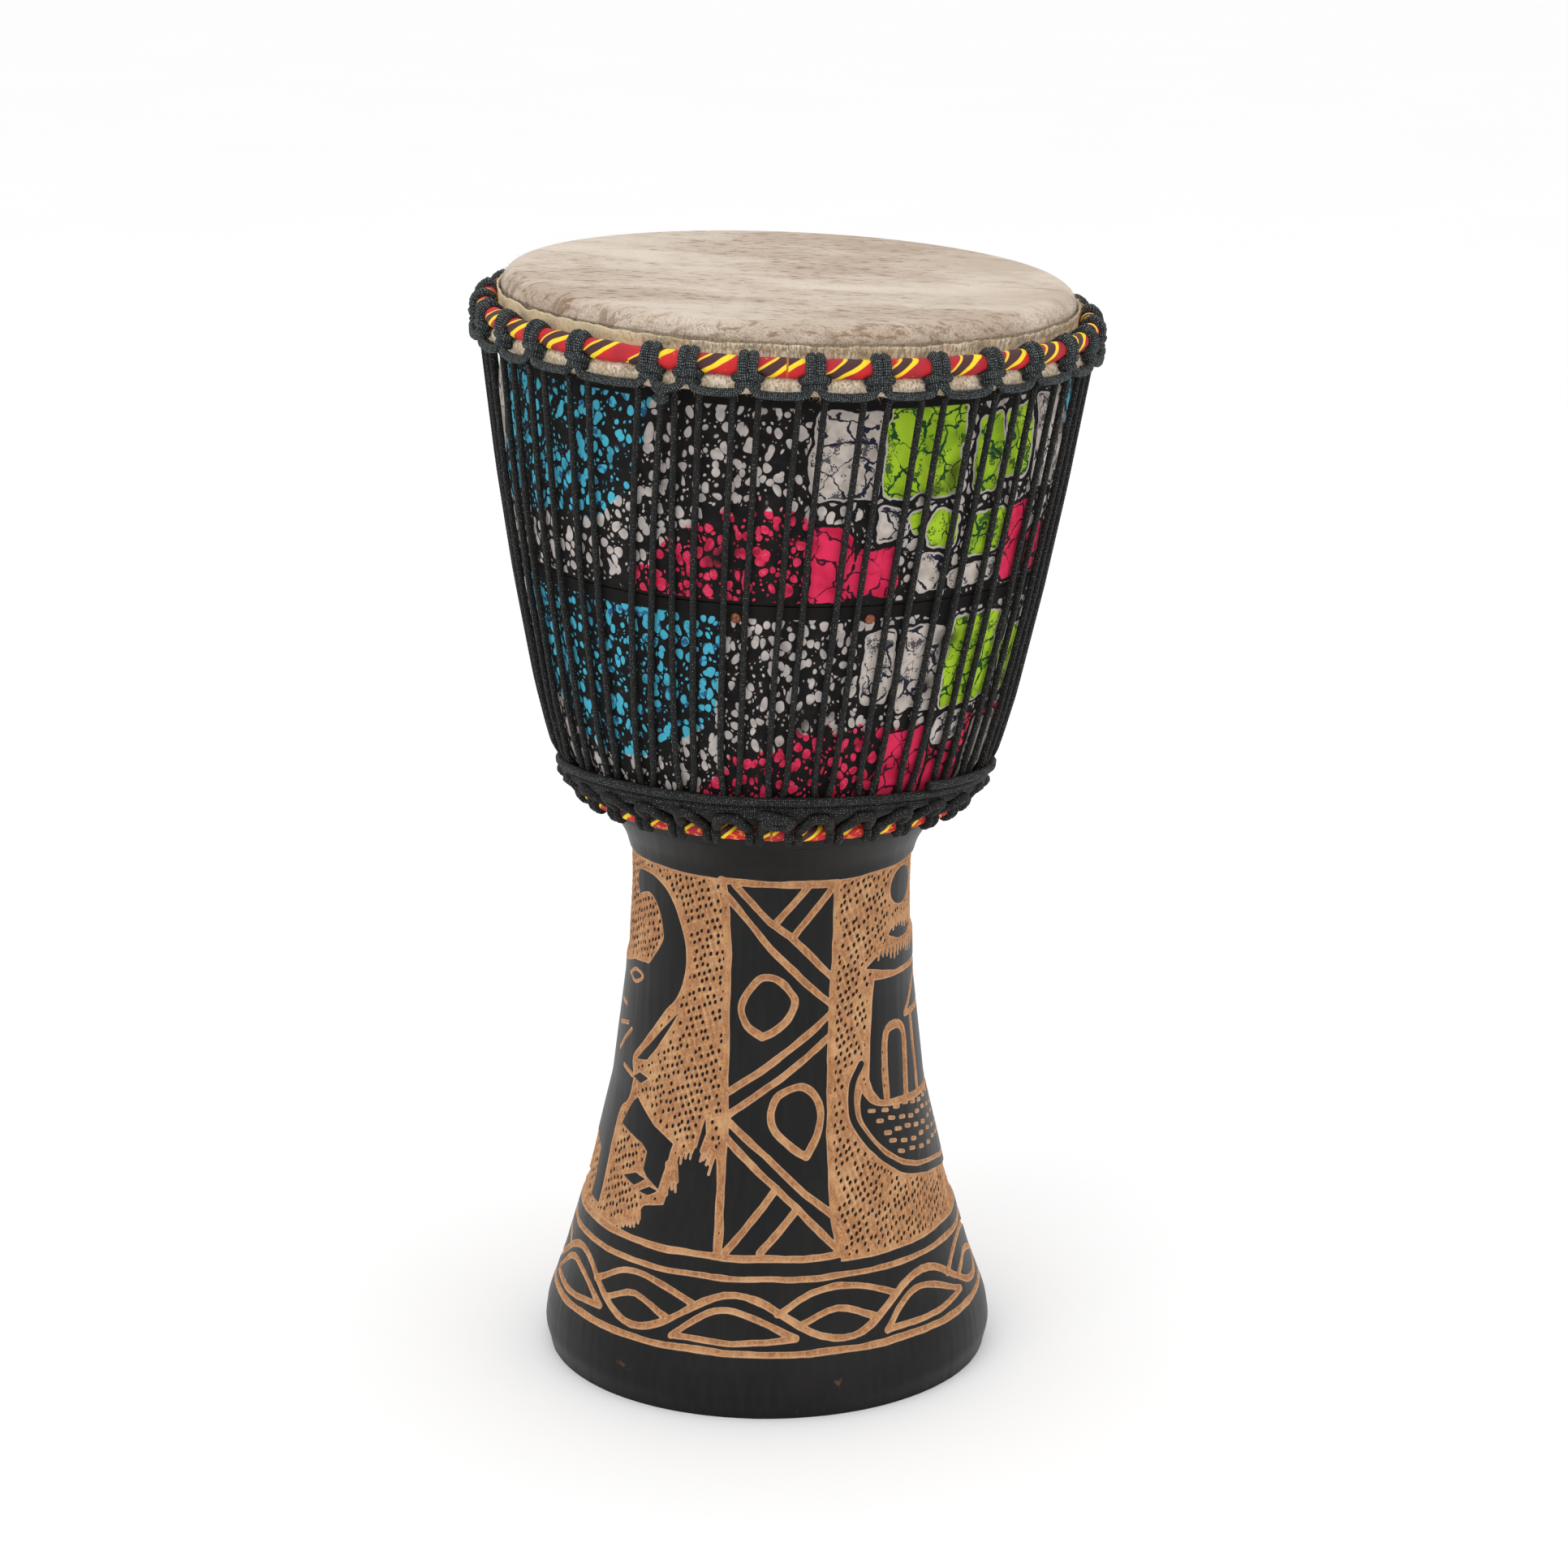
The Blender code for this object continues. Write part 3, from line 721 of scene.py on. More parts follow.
def make_inside_wood(look):
    """Foot rim and hollow, rough from the adze, up to the inner edge under the head."""
    columns = 240
    az = whole_turn(columns)
    z = np.arange(0.0, 0.5935, 0.0045)
    r = inside_radius(z)
    scoops = 0.0007 * noise(az[None, :] / 7.5, z[:, None] / 0.022, 51) * smoothstep(0.0, 0.02, z)[:, None]
    rim_r = np.linspace(outside_radius(0.0), r[0], 8, endpoint=False)
    rows = np.concatenate([polar(az, rim_r[:, None], 0.0), polar(az, r[:, None] + scoops, z[:, None])])
    top = polar(az, np.linspace(inside_radius(0.5935), EDGE_ARC_R, 5)[1:, None], HEIGHT - SKIN - FIT)
    rows = np.concatenate([rows, top])[::-1]
    piece = grid_piece("inside_wood", rows, look, wrap_columns=True)
    settle(piece, BODY, "black_wood", "shell")


# ---------------------------------------------------------------- skin

def skin_outline(az):
    """Rows of (radius, z) across the skin for each azimuth: head, side, wrap round the ring, collar."""
    offset = (az - FIRST_KNOT) / PITCH
    bulge = smoothstep(0.08, 0.55, between_knots(offset))
    rows = []
    for r in np.concatenate([[0.0005], np.linspace(0.006, EDGE_ARC_R - 0.004, 34)]):
        sag = -0.0004 * (1.0 - (r / EDGE_ARC_R) ** 2)
        x, y, _ = (polar(az, r, 0) / 0.03).T
        rows.append((r + 0 * az, HEIGHT + sag + 0.00025 * fractal(x, y, 61)))
    for turn in np.radians(np.linspace(90.0, 0.0, 12)):
        rows.append((EDGE_ARC_R + EDGE_ROUND * np.cos(turn) + 0 * az,
                     HEIGHT - EDGE_ROUND + EDGE_ROUND * np.sin(turn) + 0 * az))
    for z in np.linspace(0.5885, 0.5745, 9):
        rows.append((SKIN_SIDE_R + 0.0002 * noise(az / 4.0, z / 0.004, 62), z + 0 * az))
    for turn in np.radians(np.linspace(195.0, 480.0, 30)):
        plump = FLESH_ROD + 0.0008 + SKIN * 0.6 + 0.0009 * bulge + 0.00025 * noise(az / 1.6, turn * 4.0, 63)
        rows.append((FLESH_R + plump * np.cos(turn), FLESH_Z + plump * np.sin(turn)))
    rough = smoothstep(-0.6, 0.2, np.sin(np.radians(az)))
    ragged = COLLAR_TOP - 0.0022 + 0.0016 * fractal(az / 5.0, 0.5, 64)
    ragged = ragged + 0.0008 * rough * noise(az / 0.7, 0.5, 65)
    curl = 0.0005 + 0.0007 * (0.5 + 0.5 * noise(az / 7.0, 0.5, 66))
    for share in np.linspace(0.0, 1.0, 12):
        z = COLLAR_FOOT + (ragged - COLLAR_FOOT) * share
        r = SKIN_SIDE_R + 0.0014 + curl * share ** 3 + 0.00025 * noise(az / 2.2, share * 5.0, 67)
        rows.append((r, z))
    for share in np.linspace(1.0, 0.0, 6):
        z = COLLAR_FOOT + (ragged - 0.0001 - COLLAR_FOOT) * share
        rows.append((SKIN_SIDE_R + 0.0005 + curl * share ** 3, z))
    return np.array(rows)


def make_skin(look):
    columns = 720
    az = whole_turn(columns)
    outline = skin_outline(az)
    points = polar(az[None, :], outline[:, 0], outline[:, 1])[::-1]
    zone = np.zeros(points.shape[:2])
    zone[:18] = 1.0                                             # collar
    zone[18:48] = 2.0                                           # wrap
    piece = grid_piece("goatskin", points, look, {"zone": zone}, wrap_columns=True)
    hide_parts("skin")
    blend_head(piece)


def blend_head(piece):
    """Bakes the piece's transform into its mesh; the piece rides on no body."""
    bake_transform(piece)


def make_hair(look):
    """Short hair left at the edge, on the collar and on the wrap, as thin blades."""
    rng = np.random.default_rng(71)
    count = 11000
    az = rng.uniform(0.0, 360.0, count)
    where = rng.uniform(0.0, 1.0, count)
    turn = np.radians(rng.uniform(-60.0, 75.0, count))
    plump = FLESH_ROD + 0.0020
    r = np.where(where < 0.45, SKIN_SIDE_R + 0.0018, FLESH_R + plump * np.cos(turn))
    z = np.where(where < 0.45, rng.uniform(0.5850, 0.5905, count), FLESH_Z + plump * np.sin(turn))
    edge = where > 0.88
    r = np.where(edge, SKIN_SIDE_R + 0.0002, r)
    z = np.where(edge, rng.uniform(0.5895, 0.5960, count), z)
    bow = np.sqrt(np.clip(EDGE_ROUND ** 2 - (z - HEIGHT + EDGE_ROUND) ** 2, 0.0, None))
    r = np.where(edge & (z > HEIGHT - EDGE_ROUND), EDGE_ARC_R + bow + 0.0001, r)
    bald = (where < 0.45) & (np.sin(np.radians(az)) < -0.45)     # the collar is smooth on the left
    az = np.where(bald, az + 120.0, az)
    root = polar(az, r, z)
    out = polar(az, 1.0, 0.0)
    tangent = polar(az + 90.0, 1.0, 0.0)
    length = rng.uniform(0.0014, 0.0042, count)[:, None]
    on_collar = (where < 0.45)[:, None]
    lay = (out * rng.uniform(0.05, 0.35, (count, 1))
           + tangent * rng.uniform(-0.9, 0.9, (count, 1)) * np.where(on_collar, 0.45, 1.0)
           + np.array([0.0, 0.0, 1.0]) * np.where(on_collar, rng.uniform(0.2, 1.2, (count, 1)),
                                                 rng.uniform(-1.0, 0.5, (count, 1))))
    lay /= np.linalg.norm(lay, axis=1)[:, None]
    broad = np.cross(lay, out)
    broad *= 0.00010 / np.linalg.norm(broad, axis=1)[:, None]
    tip = root + lay * length
    points = np.stack([root - broad, root + broad, tip + 0.25 * broad, tip - 0.25 * broad], 1)
    faces = np.arange(4 * count).reshape(-1, 4)
    piece = make_piece("skin_hair", points, faces, look, {"shade": rng.uniform(0, 1, count).repeat(4)})
    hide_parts("skin")
    blend_head(piece)


# ---------------------------------------------------------------- ropes

KNOT_SHIFTS = {29: 4.3}     # degrees; the rope starts and ends beside this hitch, which sits off its place
STRAND = 0.0025             # half the distance between the two strands of a hitch, which touch
SCALLOP_R, SCALLOP_Z = 0.1660, 0.5666
ARCH_R, ARCH_Z = 0.1226, 0.3366


def crown_knot(pitch):
    pitch = pitch % PITCHES
    sway = 0.45 * math.sin(2.3 * pitch * pitch)
    return FIRST_KNOT + PITCH * pitch + KNOT_SHIFTS.get(pitch, sway)


def around_ring(radius, z, reach, start, end, count):
    """(radius, z) places round a ring's rod, angles in degrees from the outward direction."""
    return [(radius + reach * math.cos(math.radians(a)), z + reach * math.sin(math.radians(a)))
            for a in np.linspace(start, end, count)]


def hung_rope(knot, following, half, middle):
    """Rope from one hitch to the next: half is (sideways, radius, z, thickness) from the first one's end."""
    rows = [(*polar(knot + math.degrees(s / r), r, z), ROPE * f) for s, r, z, f in half]
    back = [(*polar(following - math.degrees(s / r), r, z), ROPE * f) for s, r, z, f in reversed(half)]
    r, z, f = middle
    rows.append((*polar((knot + following) / 2.0, r, z), ROPE * f))
    return resample(spline(rows + back, 4), 0.0009)


def scallop_path(pitch):
    """From behind the crown ring, over it, under the bar, along the scallop, and back at the next hitch."""
    knot, following = crown_knot(pitch), crown_knot(pitch + 1)
    if following < knot:
        following += 360.0
    low = SCALLOP_Z + 0.0005 * math.sin(1.9 * pitch + 0.4)
    half = [(0.0014, SKIN_SIDE_R + 0.0034, CROWN_Z + 0.0026, 0.9)]
    for i, (r, z) in enumerate(around_ring(CROWN_R, CROWN_Z, 0.0058, 84.0, -32.0, 6)):
        half.append((STRAND * (0.90 if i == 0 else 1.0), r, z, 1.42))
    half += [(0.0020, 0.1636, 0.5732, 1.20), (0.0026, 0.1646, 0.5704, 1.20),
             (0.0050, SCALLOP_R - 0.0002, 0.5677, 1.20), (0.0086, SCALLOP_R, low + 0.0002, 1.20)]
    return hung_rope(knot, following, half, (SCALLOP_R + 0.0002, low - 0.0002, 1.20))


def cross_turn(pitch, half, radius, z, thick):
    """A short turn that lies across the two strands of a crown hitch."""
    knot, wide = crown_knot(pitch), math.degrees(1.0 / CROWN_R)
    lift = 0.0003 * math.sin(3.7 * pitch)
    turn = [(-half, radius - 0.0046, z - 0.0018, 0.85), (-0.72 * half, radius - 0.0015, z - 0.0007, 0.96),
            (0.0, radius, z + lift, 1.0), (0.72 * half, radius - 0.0015, z - 0.0007, 0.96),
            (half, radius - 0.0046, z - 0.0018, 0.85)]
    rows = [(*polar(knot + s * wide, r, height), ROPE * thick * f) for s, r, height, f in turn]
    return resample(spline(rows, 5), 0.0009)


def make_top_loops(look):
    paths = []
    for pitch in range(PITCHES):
        paths += [scallop_path(pitch), cross_turn(pitch, 0.0066, 0.1664, 0.5757, 1.25),
                  cross_turn(pitch, 0.0050, 0.1658, 0.5716, 1.15)]
    start = crown_knot(29) + 1.0
    bends = ((0.0, 0.0, 0.5665), (1.4, 0.0016, 0.5640), (2.4, 0.0012, 0.5612), (1.2, 0.0, 0.5596),
             (0.0, 0.0004, 0.5618))
    tuck = [(*polar(start + a, 0.1640 + b, c), ROPE * 1.1) for a, b, c in bends]
    paths.append(resample(spline(tuck, 5), 0.0009))
    settle(rope_piece("top_loop_rope", paths, 14, 0.14, look, 0.88), RINGS, "rope", "top_loops")


def lacing_leg(pitch, side):
    """One vertical from the scallop to the arch, as (azimuth, radius, z) rows from the top."""
    clear = 2 * FIT + CLOTH + ROPE + 0.0004
    heights = np.append(np.linspace(0.5640, 0.3480, 22), 0.3417)
    top = crown_knot(pitch) - (FIRST_KNOT + PITCH * pitch)
    foot_r = float(outside_radius(0.500)) + clear
    leg = [(knot_azimuth(pitch, 0.565) + 2.9 * side + top, 0.1610, 0.5652)]
    for z in heights:
        share = (z - heights[-1]) / (heights[0] - heights[-1])
        sway = 0.30 * math.sin(15.5 * share + 1.7 * pitch + side) * share * (1.0 - share)
        aside = side * (1.25 + 1.05 * min(1.0, (1.0 - abs(2.0 * share - 1.0)) * 6.0 + share))
        hung = foot_r + (0.1608 - foot_r) * (z - 0.500) / 0.064
        r = max(float(outside_radius(z)) + clear, hung if z > 0.500 else 0.0)
        leg.append((knot_azimuth(pitch, z) + aside + sway + top * share, r, z))
    leg.append((leg[-1][0] - 0.25 * side, 0.1140, 0.3356))
    return leg


def make_lacing(look):
    """The tuning rope zigzags between the top scallops and the bottom arches."""
    rows = []
    for pitch in range(PITCHES):
        rows += lacing_leg(pitch, -1.0)
        rows += lacing_leg(pitch, 1.0)[::-1]
    path = resample(np.array([(*polar(az, r, z), 0.90 * ROPE) for az, r, z in rows]), 0.0011, rounds=4)
    pieces = 3
    size = len(path) // pieces + 1
    for k in range(pieces):
        part = path[k * size:(k + 1) * size + 1]
        piece = rope_piece(f"lacing_{k + 1}", [part], 12, 0.06, look)
        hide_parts("lacing_rope")
        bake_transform(piece)


def side_dip(az):
    """0 at the front and back, 1 at the sides, where the windings sit lower."""
    return (1.0 - abs(math.cos(math.radians(az)))) ** 1.3


def winding(az, z):
    """Place of the tail on top of the verticals, which turn inwards under the bowl."""
    low = z - 0.0120 * side_dip(az)
    over = float(outside_radius(max(low, CLOTH_END))) + 0.0077
    return polar(az, over - 0.75 * max(CLOTH_END - low, 0.0) - 0.0008 * side_dip(az), low)


def make_tie_off(look):
    """The rope's tail: two full turns over the verticals and a short third one, tucked in at the front."""
    thick = ROPE * 1.18
    top_z, rise = 0.3508, 0.0051
    rows = []
    for az in np.arange(40.0, 40.0 + 720.0 + 1.0, 3.0):
        z = top_z - rise * (az - 40.0) / 360.0 + 0.0003 * math.sin(math.radians(5.0 * az))
        rows.append((*winding(az, z), thick))
    tail = [(*winding(278.0 + k * 12.0, top_z - 2.0 * rise + 0.0008 - 0.0007 * k), thick * 0.92)
            for k in range(4)]
    knot = [(*polar(1.5 + a, ARCH_R + b, c), thick * 1.05) for a, b, c in
            ((-5.0, 0.0020, 0.3392), (-0.5, 0.0036, 0.3382), (2.8, 0.0030, 0.3356), (1.2, 0.0006, 0.3330),
             (-2.6, 0.0000, 0.3334), (-3.2, 0.0022, 0.3362), (1.6, 0.0042, 0.3376))]
    paths = [resample(np.array(rows), 0.0010, 3), resample(spline(tail, 6), 0.0010),
             resample(spline(knot, 6), 0.0010)]
    settle(rope_piece("tie_off", paths, 16, 0.12, look), BODY, "rope", "tie_off_rope")


def bottom_knot(pitch):
    return knot_azimuth(pitch + 0.5, BOTTOM_Z) + 0.5 * math.sin(2.1 * (pitch % PITCHES) ** 2)


def arch_path(pitch):
    """From behind the bottom ring, under it, up its front, over the arch, and back at the next hitch."""
    knot, following = bottom_knot(pitch), bottom_knot(pitch + 1)
    sink = side_dip((knot + following) / 2.0)
    rise = 0.0007 * math.sin(2.9 * pitch) - 0.0052 * sink
    arch = ARCH_R - 0.0086 * sink
    half = [(0.0012, r, z, 1.0) for r, z in around_ring(BOTTOM_R, BOTTOM_Z, 0.0050, -150.0, -100.0, 2)]
    half += [(STRAND, r, z, 1.20) for r, z in around_ring(BOTTOM_R, BOTTOM_Z, 0.0049, -70.0, 25.0, 4)]
    half += [(0.0038, BOTTOM_R + 0.0070 - 0.0010 * sink, BOTTOM_Z + 0.0046 - 0.0010 * sink, 1.45),
             (0.0062, arch - 0.0050, ARCH_Z - 0.0040 + rise, 1.45),
             (0.0082, arch - 0.0006, ARCH_Z - 0.0006 + rise, 1.40)]
    return hung_rope(knot, following, half, (arch, ARCH_Z + rise, 1.38))


def run_path(radius, z, swing, thick, sinking):
    """A turn round the drum that rises and falls once from hitch to hitch."""
    rows = []
    for k in range(4 * PITCHES + 1):
        az = 360.0 * k / (4 * PITCHES)
        sink = side_dip(az) * sinking
        wave = swing * math.sin(math.radians(PITCHES * (az - bottom_knot(0)) - 90.0))
        wave += 0.0005 * math.sin(math.radians(3.0 * az))
        rows.append((*polar(az, radius - 0.9 * sink, z - sink + wave), ROPE * thick))
    return resample(spline(rows, 4), 0.0010)


def make_bottom_loops(look):
    """Arches between the hitches of the bottom ring, and the run that lies above them."""
    paths = [arch_path(pitch) for pitch in range(PITCHES)]
    paths.append(run_path(0.1186, 0.3392, 0.0006, 1.5, 0.0060))
    settle(rope_piece("bottom_loop_rope", paths, 14, 0.10, look), BODY, "rope", "bottom_loops")


# ---------------------------------------------------------------- cloths and tacks

def make_ring_cloth(name, node, body, radius, z, rod, columns, look, lumps):
    """Printed strip wound round a ring; it swells between the hitches."""
    az = whole_turn(columns)
    around = np.linspace(0.0, 360.0, 20)
    offset = (az - FIRST_KNOT) / PITCH
    swell = rod + 0.0004 + CLOTH + lumps * smoothstep(0.1, 0.7, between_knots(offset))
    turn = np.radians(around[:, None] + 180.0)
    fold = 0.00012 * np.sin(2.0 * np.pi * (offset[None, :] * 3.0 + around[:, None] / 360.0))
    size = swell[None, :] + fold
    points = polar(az[None, :], radius + size * np.cos(turn), z + size * np.sin(turn))
    fields = {"gap": np.broadcast_to(offset[None, :] + 64.0, size.shape),
              "turn": np.broadcast_to(np.sin(turn), size.shape)}
    piece = grid_piece(name, points[::-1], look, {k: v[::-1] for k, v in fields.items()}, wrap_columns=True)
    settle(piece, body, "red_wrap", node)


WHITE, GREEN, PINK = 0.0, 1.0, 2.0
PRINT_REPEAT = 150.0        # degrees round the bowl
# Large printed shapes: first and last azimuth, lower and upper height, colour.
UPPER_SHAPES = (
    (5.5, 19.0, .5110, .5580, WHITE), (19.8, 37.0, .5110, .5600, GREEN), (39.8, 47.5, .5100, .5505, GREEN),
    (48.0, 57.0, .5130, .5530, GREEN), (58.5, 74.0, .5050, .5560, WHITE), (18.5, 24.5, .4880, .5080, WHITE),
    (25.0, 29.3, .4920, .5030, GREEN), (30.0, 37.5, .4830, .5030, GREEN), (39.5, 50.5, .4760, .5010, GREEN),
    (5.5, 13.8, .4560, .4970, PINK), (14.3, 24.0, .4590, .4850, PINK), (28.5, 35.2, .4590, .4810, WHITE),
    (36.0, 50.5, .4600, .4720, WHITE), (51.8, 60.0, .4600, .5000, PINK), (61.5, 68.5, .4600, .4840, PINK),
)
LOWER_SHAPES = (
    (18.8, 26.5, .4000, .4410, WHITE), (28.0, 38.4, .3930, .4410, WHITE), (39.8, 57.0, .3920, .4420, GREEN),
    (60.5, 68.5, .3900, .4300, GREEN), (26.5, 39.0, .3400, .3830, PINK), (40.0, 50.0, .3720, .3880, WHITE),
    (40.0, 52.0, .3400, .3630, PINK), (54.0, 66.0, .3450, .3800, WHITE),
)
# Edges of the coloured fields of pebbles: azimuths and heights. Blue lies above, pink below.
UPPER_BLUE = ((-75, -50, -40, -33, -28.5, -26), (.487, .487, .493, .503, .525, .570))
UPPER_PINK = ((-36, -28, -20, -12, -5, 3, 8, 11), (.450, .474, .492, .502, .508, .506, .500, .440))
LOWER_BLUE = ((-75, -66, -52, -40, -25, -18, -14, -11), (.450, .390, .365, .358, .372, .382, .392, .450))
LOWER_PINK = ((-24, -8, 0, 4, 12, 20, 30), (.340, .372, .374, .386, .386, .386, .384))


def print_shapes(turn, z, shapes):
    """Distance to the edge of the nearest large shape, below 0 inside, and that shape's colour."""
    nearest, colour = np.full(turn.shape, 1.0), np.zeros(turn.shape)
    across = math.radians(1.0) * outside_radius(z)
    corner = 0.0045
    for first, last, low, high, kind in shapes:
        dx = np.abs(turn - (first + last) / 2.0) * across - (last - first) / 2.0 * across + corner
        dz = np.abs(z - (low + high) / 2.0) - (high - low) / 2.0 + corner
        beyond = np.hypot(np.maximum(dx, 0.0), np.maximum(dz, 0.0))
        edge = beyond + np.minimum(np.maximum(dx, dz), 0.0) - corner
        colour = np.where(edge < nearest, kind, colour)
        nearest = np.minimum(nearest, edge)
    return nearest, colour


def make_bowl_cloth(name, node, top, end, shapes, blue, pink, look, seed):
    columns, rows = 720, 110
    az = np.linspace(-180.0, 180.0, columns + 1)
    z = np.linspace(end, top, rows)
    grid_az, grid_z = np.meshgrid(az, z)
    lift = 0.0008 + 0.00018 * fractal(grid_az / 9.0, grid_z / 0.05, seed)
    lift += 0.0002 * noise(grid_az / 2.4, grid_z / 0.09, seed + 5)
    lift[:, -1] = lift[:, 0]
    points = polar(grid_az, outside_radius(grid_z) + lift, grid_z)
    turn = (grid_az + PRINT_REPEAT / 2.0) % PRINT_REPEAT - PRINT_REPEAT / 2.0
    ragged = 0.0030 * fractal(grid_az / 4.6, grid_z / 0.012, seed + 7)
    sideways = 1.1 * fractal(grid_az / 5.0, grid_z / 0.013, seed + 9)
    edge, colour = print_shapes(turn + sideways, grid_z + ragged, shapes)
    flat_x = np.radians(grid_az) * UNROLL_R
    fields = {"unrolled": np.stack([flat_x, grid_z, np.full_like(flat_x, seed)], -1),
              "blue": np.clip((grid_z - np.interp(turn, *blue)) / 0.01, -2.0, 2.0),
              "pink": np.clip((np.interp(turn, *pink) - grid_z) / 0.01, -2.0, 2.0),
              "shape": 1000.0 * edge, "shape_colour": colour,
              "from_end": grid_z - end, "from_top": top - grid_z}
    piece = grid_piece(name, points, look, fields)
    settle(piece, BODY, "print_cloth", node)
    slant = float(np.sum(np.hypot(np.diff(z), np.diff(outside_radius(z)))))
    area = float(np.trapz(2.0 * np.pi * outside_radius(z), z)) * slant / (top - end)
    width = 2.0 * math.pi * float(outside_radius(z).max())


# Radius and height along a tack, from the top of its dome to its point.
TACK_OUTLINE = (
    (.0001, .0013), (.0008, .00125), (.0015, .00105), (.0021, .00075), (.0026, .0004),
    (.0028, .0001), (.0027, -.0001), (.0006, -.0001), (.0006, -.0060), (.0001, -.0072),
)


def make_tacks(look):
    """Domed, slightly battered tack heads over their CAD pins."""
    for number, gap in enumerate(TACK_GAPS, start=1):
        node = f"cloth_tack_{number:02d}"
        az = knot_azimuth(gap / 2.0, TACK_Z)
        slope = float(outside_radius(TACK_Z + 0.01) - outside_radius(TACK_Z - 0.01)) / 0.02
        out = polar(az, 1.0, 0.0) + np.array([0.0, 0.0, -slope])
        out /= np.linalg.norm(out)
        side = polar(az + 90.0, 1.0, 0.0)
        up = np.cross(out, side)
        centre = polar(az, float(outside_radius(TACK_Z)) + 0.0011, TACK_Z)
        turn = np.radians(np.arange(0.0, 360.0, 15.0))
        rows = []
        for r, height in TACK_OUTLINE:
            dent = 1.0 + 0.03 * np.sin(3.0 * turn + number) + 0.02 * np.sin(5.0 * turn + 2.0 * number)
            ring = centre + out * height + (r * dent * np.cos(turn))[:, None] * side
            rows.append(ring + (r * dent * np.sin(turn))[:, None] * up)
        piece = grid_piece(f"tack_{number:02d}", np.array(rows), look, wrap_columns=True)
        settle(piece, BODY, "tack_iron", node)


# ---------------------------------------------------------------- materials

def black_paint(look, place, streaks):
    """Thin satin paint: faint streaks, brown where it is worn at the neck and the foot."""
    height = look.parts(place)[2]
    cloud = look.noise(place, 22.0, 4.0)
    paint = look.mix(look.step(streaks, 0.30, 0.78), "090909", "131211")
    paint = look.mix(look.times(look.step(cloud, 0.48, 0.75), 0.5), paint, "1d1a19")
    rising = look.times(look.step(height, 0.290, 0.297), look.step(height, 0.312, 0.304))
    neck = look.times(rising, look.step(cloud, 0.30, 0.62), 0.7)
    paint = look.mix(neck, paint, "151210")
    worn = look.step(look.noise(place, 60.0, 4.0), 0.66, 0.71)
    low = look.times(look.step(height, 0.026, 0.019), worn, 0.70)
    return look.mix(low, paint, "5d3c30")


def bare_wood(look, place, cut, marks):
    """Tan wood in the cuts: grain, chisel marks, painted shade in gouges and dark pits, painted highlight on
    ridges, a paler rim beside the paint.
    """
    grain = look.grain(place, (1.0, 1.0, 0.35), 420.0, 4.0)
    wood = look.mix(look.step(grain, 0.30, 0.70), "9a6b49", "ba8b5e")
    wood = look.mix(look.times(look.step(marks, 0.50, 0.66), 0.70), wood, "85573a")
    broad = look.step(look.noise(place, 60.0, 3.0), 0.45, 0.72)
    wood = look.mix(look.times(broad, 0.5), wood, "cfa579")
    # Painted shade: darker tan deep in the gouges. Painted highlight: paler tan on the ridges left between
    # the strokes.
    wood = look.mix(look.times(look.step(look.value("gouge"), 0.35, 1.0), 0.55), wood, "8e6143")
    ridge_highlight = look.times(look.step(look.value("gouge"), 0.30, 0.10), look.step(cut, -0.0030, -0.0040), 0.55)
    wood = look.mix(ridge_highlight, wood, "dcb088")
    # Near-black in the pits: painted shade of these small hollows, together with black paint left in them.
    wood = look.mix(look.step(look.value("pit"), 0.10, 0.34), wood, "1a1310")
    rim = look.times(look.step(cut, -0.0010, -0.0004), 0.38)
    return look.mix(rim, wood, "d0a98a")


def painted_carved_wood():
    look = Look("painted_carved_wood", 0.42, Specular_IOR_Level=0.20)
    place = look.attribute("place")
    cut = look.value("cut")
    streaks = look.grain(place, (1.0, 1.0, 0.10), 260.0, 4.0)
    marks = look.noise(look.warp(place, 150.0, 0.004), 900.0, 2.0)
    bare = look.step(cut, 0.00012, -0.00022)
    colour = look.mix(bare, black_paint(look, place, streaks), bare_wood(look, place, cut, marks))
    shine = look.node("MapRange", {0: bare, 1: 0.0, 2: 1.0, 3: 0.42, 4: 0.80})
    relief = look.plus(look.times(streaks, 0.15), look.times(marks, bare, 0.9))
    return look.finish(colour, relief, 0.0004, 0.45, shine)


def raw_inside_wood():
    look = Look("raw_inside_wood", 0.80)
    place = look.attribute("place")
    grain = look.grain(place, (1.0, 1.0, 0.15), 180.0, 5.0)
    blotch = look.noise(place, 30.0, 3.0)
    colour = look.mix(look.step(grain, 0.3, 0.7), "6b4a35", "a27a58")
    colour = look.mix(look.step(blotch, 0.55, 0.75), colour, "4c382c")
    height = look.parts(place)[2]
    colour = look.mix(look.step(height, 0.004, 0.0005), colour, "2b2725")
    return look.finish(colour, grain, 0.0012, 0.6)


